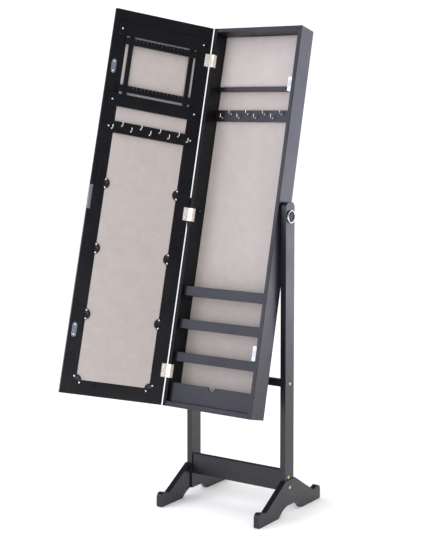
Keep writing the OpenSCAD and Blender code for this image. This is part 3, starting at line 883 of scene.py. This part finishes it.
@dataclass
class Repeater:
    """A Geometry Nodes tree that sets copies of one part on a set of points."""

    name: str
    seed: int = 4

    def tree(self) -> bpy.types.NodeTree:
        """Builds the tree: points in, copies of the part out, each turned a random amount.

        Returns:
            The tree, with named inputs for the part, its finish, its scale and its spread of turn.
        """
        made = bpy.data.node_groups.new(f"{self.name} repeater", "GeometryNodeTree")
        face = made.interface
        face.new_socket("Geometry", in_out="INPUT", socket_type="NodeSocketGeometry")
        face.new_socket("Part", in_out="INPUT", socket_type="NodeSocketObject")
        face.new_socket("Finish", in_out="INPUT", socket_type="NodeSocketMaterial")
        face.new_socket("Turn", in_out="INPUT", socket_type="NodeSocketFloat")
        face.new_socket("Size", in_out="INPUT", socket_type="NodeSocketFloat")
        face.new_socket("Geometry", in_out="OUTPUT", socket_type="NodeSocketGeometry")
        entry = add_node(made, "NodeGroupInput")
        part = add_node(made, "GeometryNodeObjectInfo", {"Object": entry.outputs["Part"]})
        low = add_node(
            made, "ShaderNodeMath", {0: entry.outputs["Turn"], 1: -1.0}, operation="MULTIPLY"
        )
        spin = add_node(
            made, "FunctionNodeRandomValue",
            {"Min": low.outputs[0], "Max": entry.outputs["Turn"], "Seed": self.seed},
            data_type="FLOAT",
        )
        turn = add_node(made, "ShaderNodeCombineXYZ", {"Y": spin.outputs[1]})
        copies = add_node(
            made, "GeometryNodeInstanceOnPoints",
            {"Points": entry.outputs["Geometry"], "Instance": part.outputs["Geometry"],
             "Rotation": turn.outputs[0], "Scale": entry.outputs["Size"]},
        )
        real = add_node(made, "GeometryNodeRealizeInstances", {"Geometry": copies.outputs[0]})
        painted = add_node(
            made, "GeometryNodeSetMaterial",
            {"Geometry": real.outputs[0], "Material": entry.outputs["Finish"]},
        )
        add_node(made, "NodeGroupOutput", {"Geometry": painted.outputs[0]})
        return made

    def place(
        self,
        part: bpy.types.Mesh,
        seats: Iterable[Vector],
        where: Matrix,
        finish: Palette,
        turn: float = 0.0,
    ) -> bpy.types.Object:
        """Copies a part to every seat and returns one plain mesh at the origin.

        Args:
            part: the part's mesh, seated at its origin and standing out along +Y.
            seats: the places in a local frame.
            where: from the local frame to the model's.
            finish: the finish of every copy.
            turn: the most that a copy turns about +Y, in radians.

        Returns:
            The finished piece's object.
        """
        points = bpy.data.meshes.new(f"{self.name} seats")
        points.from_pydata([tuple(seat) for seat in seats], [], [])
        holder = new_object(f"{self.name} holder", points)
        pattern = new_object(f"{self.name} part", part)
        tree = self.tree()
        modifier = holder.modifiers.new("repeat", "NODES")
        modifier.node_group = tree
        values = {"Part": pattern, "Finish": finish.material, "Turn": turn, "Size": 1.0}
        for item in tree.interface.items_tree:
            if item.in_out == "INPUT" and item.name in values:
                modifier[item.identifier] = values[item.name]
        bpy.context.view_layer.update()
        ready = holder.evaluated_get(bpy.context.evaluated_depsgraph_get())
        mesh = bpy.data.meshes.new_from_object(ready)
        holder.modifiers.remove(modifier)
        bpy.data.objects.remove(holder)
        bpy.data.objects.remove(pattern)
        mesh.transform(where)
        smooth_by_angle(mesh, TURNED_DEGREES)
        return new_object(self.name, mesh)


def screw_head(radius: float, rise: float) -> bpy.types.Mesh:
    """Low domed screw head with a cross recess, seated at the origin and standing out along +Y.

    Args:
        radius: the head's radius.
        rise: the height of its dome.

    Returns:
        The head's mesh.
    """
    cross = (1.0, 0.42, 0.3, 0.42)  # how far the recess reaches, four times round the head
    sides = 4 * len(cross)
    shape = bmesh.new()

    def ring(wide: float, high: float, crossed: bool = False) -> list[bmesh.types.BMVert]:
        """Adds one ring of the head.

        Args:
            wide: its size, as a share of the head's radius.
            high: its height, as a share of the dome's rise.
            crossed: whether it is drawn in to the cross.

        Returns:
            The ring's vertices.
        """
        verts = []
        size, height = radius * wide, rise * high
        for k in range(sides):
            reach = size * cross[k % len(cross)] if crossed else size
            a = 2 * math.pi * k / sides
            verts.append(shape.verts.new((reach * math.cos(a), height, reach * math.sin(a))))
        return verts

    dome = [ring(1.0, 0.0), ring(0.97, 0.35), ring(0.8, 0.75), ring(0.62, 0.95)]
    recess = [ring(0.5, 1.0, True), ring(0.34, 0.35, True)]
    skin(shape, dome + recess)
    return finished_mesh(shape, "screw head")


@dataclass
class HookRow:
    """A row of wire hooks at alternating heights on a rail."""

    name: str
    body: str
    replaces: str
    where: Matrix
    first: Vector
    pitch: float
    outward: float
    count: int = 9
    low_rise: float = 11.5 * MM
    high_rise: float = 23.5 * MM
    wire: float = 1.3 * MM
    reach: float = 9 * MM
    bend: float = 4 * MM
    tip: float = 5 * MM

    def hook(self) -> bpy.types.Mesh:
        """Bends one hook, which stands out from its rail.

        Returns:
            The hook's mesh: collar, shank, bend and ball tip.
        """
        out, wire, turns = self.outward, self.wire, 6
        collar = ((-0.5 * MM, 2.0), (0.0, 2.0), (0.6 * MM, 1.9))
        path = [Vector((0, out * along, 0)) for along, _ in collar]
        radii = [wire * thick for _, thick in collar]
        path += [Vector((0, out * 1.0 * MM, 0)), Vector((0, out * self.reach * 0.6, 0))]
        radii += [wire, wire]
        for k in range(turns + 1):
            a = math.pi / 2 * k / turns
            along = self.reach + self.bend * math.sin(a)
            path.append(Vector((0, out * along, self.bend * (1 - math.cos(a)))))
            radii.append(wire)
        end = path[-1]
        path.append(end + Vector((0, 0, self.tip * 0.6)))
        radii.append(wire)
        ball = wire * 1.5
        for k in range(1, turns + 1):
            a = math.pi * (0.22 + 0.76 * k / turns)
            path.append(end + Vector((0, 0, self.tip - ball * math.cos(a))))
            radii.append(ball * math.sin(a))
        return tube(path, radii)

    def build(self) -> None:
        """Repeats the hook along the rail."""
        rises = (self.low_rise, self.high_rise)
        seats = [
            self.first + Vector((k * self.pitch, 0, rises[k % 2])) for k in range(self.count)
        ]
        piece = Repeater(self.name).place(self.hook(), seats, self.where, Palette.NICKEL)
        settle(piece, Palette.NICKEL, self.body, [self.replaces])


@dataclass
class ScrewSet:
    """Small domed screws that share one face direction, one for each loose part of a CAD node."""

    name: str
    body: str
    where: Matrix
    node: str
    facing: Vector
    rise: float = 1.1 * MM
    radius: float = 2.4 * MM

    def build(self) -> None:
        """Sets a head where each of the node's screws has its own, turned as its driver left it."""
        turn = Vector((0, 1, 0)).rotation_difference(self.facing).to_matrix().to_4x4()
        local = self.where @ turn
        seats = []
        for low, high in loose_parts(self.node, local.inverted()):
            seats.append(Vector(((low.x + high.x) / 2, high.y - self.rise, (low.z + high.z) / 2)))
        log.info("%s: %d screws", self.name, len(seats))
        part = screw_head(self.radius, self.rise)
        # the heads take the near-white finish, which is a painted glint
        piece = Repeater(self.name, seed=11).place(part, seats, local, Palette.SCREW, turn=math.pi)
        settle(piece, Palette.SCREW, self.body, [self.node])


# ---- stand and knobs


@dataclass
class Stand:
    """The floor stand: two uprights on long feet, tied by a stretcher and a mid rail."""

    side: float = 183.2 * MM
    upright_side: float = 178.4 * MM
    head: float = 4.5 * MM
    rise: float = 1.8 * MM
    foot_bolt: tuple[float, float] = (-6 * MM, 79 * MM)
    upright_bolts: tuple[tuple[float, float], ...] = ((-6 * MM, 108.6 * MM), (0.0, 389.5 * MM))
    bolt_turn: float = 0.6

    def bolt_head(self) -> bpy.types.Mesh:
        """Makes a joint bolt's low head with a hexagon socket.

        Returns:
            The head's mesh, seated at the origin and standing out along +Y.
        """
        sides, half_flat = 24, math.pi / 6
        shape = bmesh.new()
        rows = [(1.0, 0.0, False), (1.0, 0.62, False), (0.93, 0.9, False), (0.8, 1.0, False),
                (0.56, 1.0, True), (0.52, 0.3, True)]
        rings = []
        for share, height, hexed in rows:
            ring = []
            for k in range(sides):
                a = 2 * math.pi * k / sides
                off = (a + half_flat) % (math.pi / 3) - half_flat
                reach = self.head * share * (math.cos(half_flat) / math.cos(off) if hexed else 1.0)
                spot = (reach * math.cos(a), self.rise * height, reach * math.sin(a))
                ring.append(shape.verts.new(spot))
            rings.append(ring)
        skin(shape, rings)
        return finished_mesh(shape, "bolt head")

    def build(self) -> None:
        """Eases the stand's boards and sets its brass bolts."""
        boards = [f"{kind}_{side}" for kind in ("upright", "foot") for side in ("left", "right")]
        boards += ["stretcher", "mid_rail"]
        Boards("stand", boards, Palette.STAND, "stand_paint", 1.4 * MM).build()
        PlainParts(Palette.STEEL, ["pivot_washers"]).dress()
        middle = Vector((SETTING.pivot.x, SETTING.pivot.y, 0.0))
        for side, word in ((-1, "left"), (1, "right")):
            turn = Matrix.Rotation(-side * math.pi / 2, 4, "Z")
            seats = [Vector((side * self.side, self.foot_bolt[0], self.foot_bolt[1]))]
            seats += [Vector((side * self.upright_side, y, z)) for y, z in self.upright_bolts]
            local = [turn.inverted() @ seat for seat in seats]
            where = Matrix.Translation(middle) @ turn
            piece = Repeater(f"brass_bolts_{word}").place(
                self.bolt_head(), local, where, Palette.BRASS, self.bolt_turn
            )
            settle(piece, Palette.BRASS, "stand", ["stand_bolts"])


@dataclass
class Knob:
    """A round tilt knob: black moulded cap in a bright rim, on the pivot bolt."""

    word: str
    side: int
    seat: float = 178.8 * MM
    cap_radius: float = 16.5 * MM
    face_radius: float = 14.5 * MM
    rim_radius: float = 19.5 * MM
    cap_depth: float = 6.6 * MM
    rim_depth: float = 5.0 * MM

    def where(self) -> Matrix:
        """From the lathe's frame, +Z outwards, to the model's."""
        turn = Matrix.Rotation(self.side * math.pi / 2, 4, "Y")
        return Matrix.Translation(SETTING.pivot + Vector((self.side * self.seat, 0, 0))) @ turn

    def build(self) -> None:
        """Turns the cap and the rim, and dresses the bolt behind them.

        In both profiles the small steps in millimetres are rounded corners, and the cap's last
        ones are the shallow dish in its face.
        """
        r, f, d = self.cap_radius, self.face_radius, self.cap_depth
        step = self.rim_depth + 0.6 * MM
        cap = lathe([
            (0, 0), (r, 0), (r, step - 0.5 * MM), (r - 0.5 * MM, step), (f + 0.4 * MM, step),
            (f, step + 0.3 * MM), (f, d - 0.5 * MM), (f - 0.5 * MM, d - 0.05 * MM),
            (f * 0.62, d), (f * 0.58, d - 0.5 * MM), (f * 0.3, d - 0.7 * MM), (0, d - 0.75 * MM),
        ])
        o, k = self.rim_radius, self.rim_depth
        rim = lathe([
            (r, 0), (o - 0.6 * MM, 0), (o, 0.6 * MM), (o, k - 1.3 * MM),
            (o - 0.45 * MM, k - 0.4 * MM), (o - 1.3 * MM, k), (r + 0.6 * MM, k - 0.1 * MM),
            (r, k - 0.6 * MM),
        ], closed=True)
        body = f"{self.word}_knob"
        for mesh, name, finish, slot, node in (
            (cap, f"knob_cap_{self.word}", Palette.KNOB, "knob_plastic", f"knob_{self.word}"),
            (rim, f"knob_rim_{self.word}", Palette.CHROME, "knob_chrome", f"knob_{self.word}_rim"),
        ):
            mesh.transform(self.where())
            settle(new_object(name, mesh), finish, body, [node])
        PlainParts(Palette.STEEL, [f"pivot_bolt_{self.word}"]).dress()


# ---- cabinet


@dataclass
class Cabinet:
    """The shallow cabinet: painted boards, flocked back, brooch pad, hooks, shelves and tray."""

    half_inside: float = 146 * MM
    pad_front: float = 50 * MM
    pad_back: float = 65 * MM
    pad_low: float = 994.5 * MM
    pad_high: float = 1158 * MM
    pad_crown: float = 3.5 * MM
    pad_roll: float = 3 * MM
    pad_play: float = 0.3 * MM
    pad_fill: float = 0.9
    catch_heights: tuple[float, float] = (188 * MM, 991 * MM)
    catch_left: float = 133 * MM
    hook_rail_front: float = 57 * MM
    hook_rail_low: float = 887 * MM
    hook_pitch: float = 30.5 * MM

    def boards(self) -> None:
        """Eases every painted board of the cabinet."""
        levels = ("upper", "middle", "lower")
        carcase = ["side_panel_right", "top_board", "bottom_board", "back_board"]
        shelves = [f"shelf_{level}" for level in levels] + ["brooch_shelf"]
        fronts = [f"shelf_lip_{level}" for level in levels] + ["tray_front", "cabinet_hook_rail"]
        for nodes, finish, radius in (
            # the side beside the hinges takes the darker copy of the coat: painted shade
            (["side_panel_left"], Palette.CABINET_FLAT, 1.0 * MM),
            (carcase, Palette.CABINET, 1.0 * MM),
            (shelves, Palette.CABINET, 0.7 * MM),
            (fronts, Palette.CABINET, 0.9 * MM),
        ):
            Boards("cabinet", nodes, finish, "cabinet_paint", radius).build()
        PlainParts(Palette.LINING, ["back_lining"]).dress()

    def brooch_pad(self) -> None:
        """Makes the velvet-covered foam pad: a crowned face whose edges pull in to the boards."""
        across, up = 56, 32
        shape = bmesh.new()
        depth = self.pad_back - self.pad_front
        flat = depth - self.pad_crown - self.pad_roll
        middle, half_high = (self.pad_low + self.pad_high) / 2, (self.pad_high - self.pad_low) / 2

        def front(u: float, v: float) -> Vector:
            """Finds a point of the crowned face.

            Args:
                u: from -1 at the left edge to 1 at the right.
                v: from -1 at the lower edge to 1 at the upper.

            Returns:
                The point, in the cabinet's frame.
            """
            edge = (1 - abs(u) ** 14) * (1 - abs(v) ** 10)
            crown = (1 - u * u) * (1 - v * v)
            rise = flat + self.pad_roll * edge ** 0.5 + self.pad_crown * crown ** 0.6
            x = u * (self.half_inside - self.pad_play)
            z = middle + v * (half_high - self.pad_play)
            return Vector((x, self.pad_back - rise, z))

        def ease(t: float) -> float:
            """Gathers the grid's lines towards both edges."""
            return math.sin(t * math.pi / 2) * 0.55 + t * 0.45

        wide = [ease(2 * i / across - 1) for i in range(across + 1)]
        high = [ease(2 * j / up - 1) for j in range(up + 1)]
        grid = [[shape.verts.new(front(u, v)) for v in high] for u in wide]
        for i in range(across):
            for j in range(up):
                shape.faces.new((grid[i][j], grid[i + 1][j], grid[i + 1][j + 1], grid[i][j + 1]))
        rim = [grid[i][0] for i in range(across)] + [grid[across][j] for j in range(up)]
        rim += [grid[i][up] for i in range(across, 0, -1)] + [grid[0][j] for j in range(up, 0, -1)]
        back = [shape.verts.new((v.co.x, self.pad_back, v.co.z)) for v in rim]
        for k in range(len(rim)):
            j = (k + 1) % len(rim)
            shape.faces.new((rim[k], rim[j], back[j], back[k]))
        shape.faces.new(back)
        bmesh.ops.recalc_face_normals(shape, faces=shape.faces)
        mesh = finished_mesh(shape, "brooch_pad_crowned", SOFT_DEGREES, SETTING.cabinet)
        pad = new_object("brooch_pad_crowned", mesh)
        # the pad takes the paler copy of the flock: painted light
        settle(pad, Palette.PAD, "cabinet", ["brooch_pad"])

    def catches(self) -> None:
        """Builds the two magnetic catches: white housings with ribs, and steel pole plates.

        Each row below is a box's lowest and highest corner in millimetres, from the catch's left
        edge, the cabinet's front edges and the catch's middle.
        """
        housing = (
            ((0.0, 2.0, -21.5), (13.0, 16.0, 21.5)),  # the body, as tall as the catch
            ((0.6, 1.0, -11.5), (2.6, 2.0, 11.5)),  # rib left of the plates
            ((1.5, 1.2, -20.0), (11.5, 2.0, -13.0)),  # lower screw boss
            ((1.5, 1.2, 13.0), (11.5, 2.0, 20.0)),  # upper screw boss
            ((5.4, 1.0, -11.5), (7.6, 2.0, 11.5)),  # rib between the plates
            ((10.4, 1.0, -11.5), (12.4, 2.0, 11.5)),  # rib right of the plates
        )
        plates = (((3.0, 0.3, -10.0), (5.0, 6.0, 10.0)), ((8.0, 0.3, -10.0), (10.0, 6.0, 10.0)))
        for boxes, name, finish, slot, radius in (
            (housing, "catch_housings", Palette.CATCH, "catch_white", 0.4 * MM),
            (plates, "catch_pole_plates", Palette.STEEL, "washer_steel", 0.2 * MM),
        ):
            shape = bmesh.new()
            for height in self.catch_heights:
                seat = Vector((self.catch_left / MM, 0.0, height / MM))
                for low, high in boxes:
                    for v in bmesh.ops.create_cube(shape, size=1.0)["verts"]:
                        spans = zip(Vector(low) + seat, Vector(high) + seat, v.co)
                        v.co = Vector([(a + b) / 2 + c * (b - a) for a, b, c in spans]) * MM
            piece = new_object(name, finished_mesh(shape, name, where=SETTING.cabinet))
            ease_edges(piece, radius, 2)
            settle(piece, finish, "cabinet", ["magnet_catches"])

    def hardware(self) -> None:
        """Sets the hooks, hinges and pivot fittings."""
        HookRow(
            "cabinet_hook_row", "cabinet", "cabinet_hooks", SETTING.cabinet,
            Vector((-4 * self.hook_pitch, self.hook_rail_front, self.hook_rail_low)),
            self.hook_pitch, -1.0,
        ).build()
        Boards("cabinet", ["cabinet_hinge_leaves"], Palette.HINGE, "nickel", 0.25 * MM).build()
        Boards("cabinet", ["hinge_pins"], Palette.HINGE, "nickel", 0.2 * MM).build()
        ScrewSet("cabinet_hinge_screw_heads", "cabinet", SETTING.cabinet,
                 "cabinet_hinge_screws", Vector((1, 0, 0)), rise=0.9 * MM).build()
        PlainParts(Palette.BLACKED, ["pivot_inserts"]).dress()

    def build(self) -> None:
        """Builds the whole cabinet."""
        self.boards()
        self.brooch_pad()
        self.catches()
        self.hardware()


# ---- door


@dataclass
class PanelClips:
    """Half-round nylon clips that hold the mirror and its board, each with a dished middle."""

    radius: float = 17 * MM
    thick: float = 3 * MM
    dish: float = 1.3 * MM
    side_in: float = 41 * MM
    side_heights: tuple[float, ...] = (237 * MM, 434.5 * MM, 632 * MM)
    corner: tuple[float, float] = (43 * MM, 42 * MM)
    steps: int = 20

    def places(self) -> list[tuple[float, float, float]]:
        """Lists the clips, three down each side and one in each lower corner.

        Returns:
            Each clip's place across and up the door, and its turn in degrees.
        """
        wide = SETTING.door_width
        found = [(self.side_in, z, 0.0) for z in self.side_heights]
        found += [(wide - self.side_in, z, 180.0) for z in self.side_heights]
        across, up = self.corner
        return found + [(across, up, 45.0), (wide - across, up, 135.0)]

    def clip(self, shape: bmesh.types.BMesh, where: Matrix) -> None:
        """Adds one clip: a half disc with a rounded rim and a dish in its middle.

        Args:
            shape: the shape that the clip is added to.
            where: from the clip's own frame to the model's.
        """
        r, t, dish = self.radius, self.thick, self.dish
        profile = [
            (7.0 * MM, dish), (8.0 * MM, dish + 0.3 * MM), (9.0 * MM, t - 0.3 * MM), (9.6 * MM, t),
            (r - 1.2 * MM, t), (r - 0.5 * MM, t - 0.25 * MM), (r, t - 0.9 * MM), (r, 0.0),
        ]
        centre = shape.verts.new((0.0, dish, 0.0))
        rows = []
        for radius, height in profile:
            turns = (math.pi * (k / self.steps - 0.5) for k in range(self.steps + 1))
            rows.append([
                shape.verts.new((radius * math.cos(a), height, radius * math.sin(a))) for a in turns
            ])
        faces = [shape.faces.new((centre, rows[0][k], rows[0][k + 1])) for k in range(self.steps)]
        for low, high in zip(rows, rows[1:]):
            for k in range(self.steps):
                faces.append(shape.faces.new((low[k], low[k + 1], high[k + 1], high[k])))
        faces.append(shape.faces.new(rows[-1]))
        straight = [row[0] for row in reversed(rows)] + [centre] + [row[-1] for row in rows]
        faces.append(shape.faces.new(straight))
        bmesh.ops.recalc_face_normals(shape, faces=faces)
        made = {v for face in faces for v in face.verts}
        bmesh.ops.transform(shape, matrix=where, verts=list(made))

    def build(self) -> None:
        """Makes all the clips as one piece."""
        shape = bmesh.new()
        for across, up, turn in self.places():
            spin = Matrix.Rotation(math.radians(-turn), 4, "Y")
            self.clip(shape, SETTING.door @ Matrix.Translation((across, 0.0, up)) @ spin)
        mesh = finished_mesh(shape, "panel_clips_dished", TURNED_DEGREES)
        piece = new_object("panel_clips_dished", mesh)
        settle(piece, Palette.CLIP, "door", ["panel_clips"])


@dataclass
class Door:
    """The framed mirror door with its earring rack, hook bar, clips and pull on the inner face."""

    bar_low: float = 788 * MM
    bar_thick: float = 8 * MM
    end_hook: float = 38 * MM
    hooks: int = 9

    def build(self) -> None:
        """Builds the whole door."""
        framing = ["door_stile_hinge_side", "door_stile_free_side"]
        framing += ["door_rail_top", "door_rail_bottom"]
        fittings = ["rack_rail_top", "rack_rail_bottom", "rack_upright_hinge_side"]
        fittings += ["rack_upright_free_side", "door_hook_bar"]
        slotted = ["rack_bar_upper", "rack_bar_lower"]
        for nodes, radius in ((framing, 1.0 * MM), (fittings, 0.9 * MM), (slotted, 0.35 * MM)):
            Boards("door", nodes, Palette.DOOR, "door_paint", radius).build()
        PlainParts(Palette.MIRROR, ["mirror_glass"]).dress()
        PlainParts(Palette.BOARD, ["mirror_board"]).dress()
        PlainParts(Palette.LINING, ["door_lining"]).dress()
        PanelClips().build()
        Boards("door", ["strike_plates"], Palette.STRIKE, "nickel", 0.3 * MM).build()
        Boards("door", ["door_pull"], Palette.SATIN, "pull_satin", 0.6 * MM).build()
        Boards("door", ["door_hinge_leaves"], Palette.HINGE, "nickel", 0.25 * MM).build()
        ScrewSet("door_screw_heads", "door", SETTING.door, "door_screws", Vector((0, 1, 0))).build()
        ScrewSet("door_hinge_screw_heads", "door", SETTING.door,
                 "door_hinge_screws", Vector((0, 1, 0)), rise=0.9 * MM).build()
        pitch = (SETTING.door_width - 2 * self.end_hook) / (self.hooks - 1)
        HookRow(
            "door_hook_row", "door", "door_hooks", SETTING.door,
            Vector((self.end_hook, self.bar_thick, self.bar_low)), pitch, 1.0, self.hooks,
        ).build()


# ---- studio


@dataclass(frozen=True)
class SoftLight:
    """One area light that lights and is reflected, but isn't seen."""

    name: str
    place: tuple[float, float, float]
    aim: tuple[float, float, float]
    size: tuple[float, float]
    watts: float
    in_gloss: bool = True
    in_diffuse: bool = True
    colour: str = "#ffffff"

    def build(self) -> None:
        """Adds the light, turned towards its aim."""
        data = bpy.data.lights.new(self.name, "AREA")
        data.shape = "RECTANGLE"
        data.size, data.size_y = self.size
        data.energy = self.watts
        data.color = linear(self.colour)[:3]
        lamp = bpy.data.objects.new(self.name, data)
        bpy.context.scene.collection.objects.link(lamp)
        lamp.location = self.place
        ahead = Vector(self.aim) - Vector(self.place)
        lamp.rotation_euler = ahead.to_track_quat("-Z", "Y").to_euler()
        lamp.visible_camera = False
        lamp.visible_glossy = self.in_gloss
        lamp.visible_diffuse = self.in_diffuse


@dataclass
class Studio:
    """Pale floor, soft light and the camera."""

    camera_place: tuple[float, float, float] = (2.1626, -3.0470, 1.2114)
    camera_turn: tuple[float, float, float] = (math.pi / 2 - 0.0693, 0.0, 0.5985)
    lens: float = 84.37
    shift_y: float = -0.14
    floor_reach: float = 14.0
    floor_drop: float = 0.6 * MM
    room_light: float = 1.1
    room_in_gloss: float = 0.15
    lights: tuple[SoftLight, ...] = field(default_factory=lambda: (
        SoftLight("front softbox", (-2.3, -3.0, 2.1), (0.0, 0.0, 0.9), (3.2, 3.0), 86.0,
                  colour="#e8e8ff"),
        SoftLight("right panel", (1.6, 2.3, 1.15), (0.0, 0.0, 0.9), (3.4, 2.3), 62.0,
                  in_diffuse=False, colour="#e8e8ff"),
        SoftLight("edge strip", (1.0, -3.4, 1.1), (0.0, 0.0, 0.8), (0.5, 2.4), 42.0,
                  in_diffuse=False),
        SoftLight("overhead", (0.0, -0.6, 4.0), (0.0, 0.0, 0.0), (3.0, 3.0), 20.0),
        SoftLight("front fill", (1.2, -3.6, 1.0), (0.0, 0.1, 0.5), (3.0, 1.8), 36.0,
                  in_gloss=False),
    ))

    def floor(self) -> None:
        """Lays a plain pale floor under the feet."""
        shape = bmesh.new()
        bmesh.ops.create_grid(shape, x_segments=8, y_segments=8, size=self.floor_reach)
        mesh = finished_mesh(shape, "studio_floor")
        made = new_object("studio_floor", mesh)
        made.location.z = -self.floor_drop
        paint = bpy.data.materials.new("pale_studio_floor")
        paint.use_nodes = True
        tree = paint.node_tree
        tree.nodes.clear()
        where = add_node(tree, "ShaderNodeTexCoord").outputs["Object"]
        cloud = add_node(tree, "ShaderNodeTexNoise", {"Vector": where, "Scale": per_metre(400)})
        tone = add_node(
            tree, "ShaderNodeMix",
            {0: cloud.outputs["Fac"], 6: linear("#fafafa"), 7: linear("#fdfdfd")},
            data_type="RGBA",
        )
        shader = add_node(
            tree, "ShaderNodeBsdfPrincipled",
            {"Base Color": tone.outputs[2], "Roughness": 0.8, "Specular IOR Level": 0.2},
        )
        add_node(tree, "ShaderNodeOutputMaterial", {"Surface": shader.outputs["BSDF"]})
        mesh.materials.append(paint)

    def world(self) -> None:
        """An even white room, dim in reflections so that only the soft lights show in the gloss."""
        world = bpy.data.worlds.new("studio")
        bpy.context.scene.world = world
        world.use_nodes = True
        tree = world.node_tree
        tree.nodes.clear()
        path = add_node(tree, "ShaderNodeLightPath")
        white = add_node(
            tree, "ShaderNodeBackground", {"Color": linear("#ffffff"), "Strength": self.room_light}
        )
        grey = add_node(
            tree, "ShaderNodeBackground",
            {"Color": linear("#e6e6ff"), "Strength": self.room_in_gloss},
        )
        both = add_node(
            tree, "ShaderNodeMixShader",
            {0: path.outputs["Is Glossy Ray"], 1: white.outputs[0], 2: grey.outputs[0]},
        )
        add_node(tree, "ShaderNodeOutputWorld", {"Surface": both.outputs[0]})

    def camera(self) -> None:
        """Sets the camera at chest height, to the right of the cabinet."""
        data = bpy.data.cameras.new("camera")
        data.lens = self.lens
        data.sensor_width = 36.0
        data.shift_y = self.shift_y
        data.clip_start, data.clip_end = 0.05, 60.0
        made = bpy.data.objects.new("camera", data)
        bpy.context.scene.collection.objects.link(made)
        made.location = self.camera_place
        made.rotation_euler = self.camera_turn
        bpy.context.scene.camera = made

    def build(self) -> None:
        """Sets up the whole studio."""
        bpy.context.scene.view_settings.view_transform = "Standard"
        self.camera()
        self.floor()
        self.world()
        for light in self.lights:
            light.build()


def main() -> None:
    """Builds the sub-assemblies in order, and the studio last."""
    logging.basicConfig(level=logging.INFO, format="%(message)s")
    for part in (Stand(), Knob("left", -1), Knob("right", 1), Cabinet(), Door(), Studio()):
        log.info("building %s", type(part).__name__)
        part.build()
    bpy.context.view_layer.update()


if __name__ == "__main__":
    main()
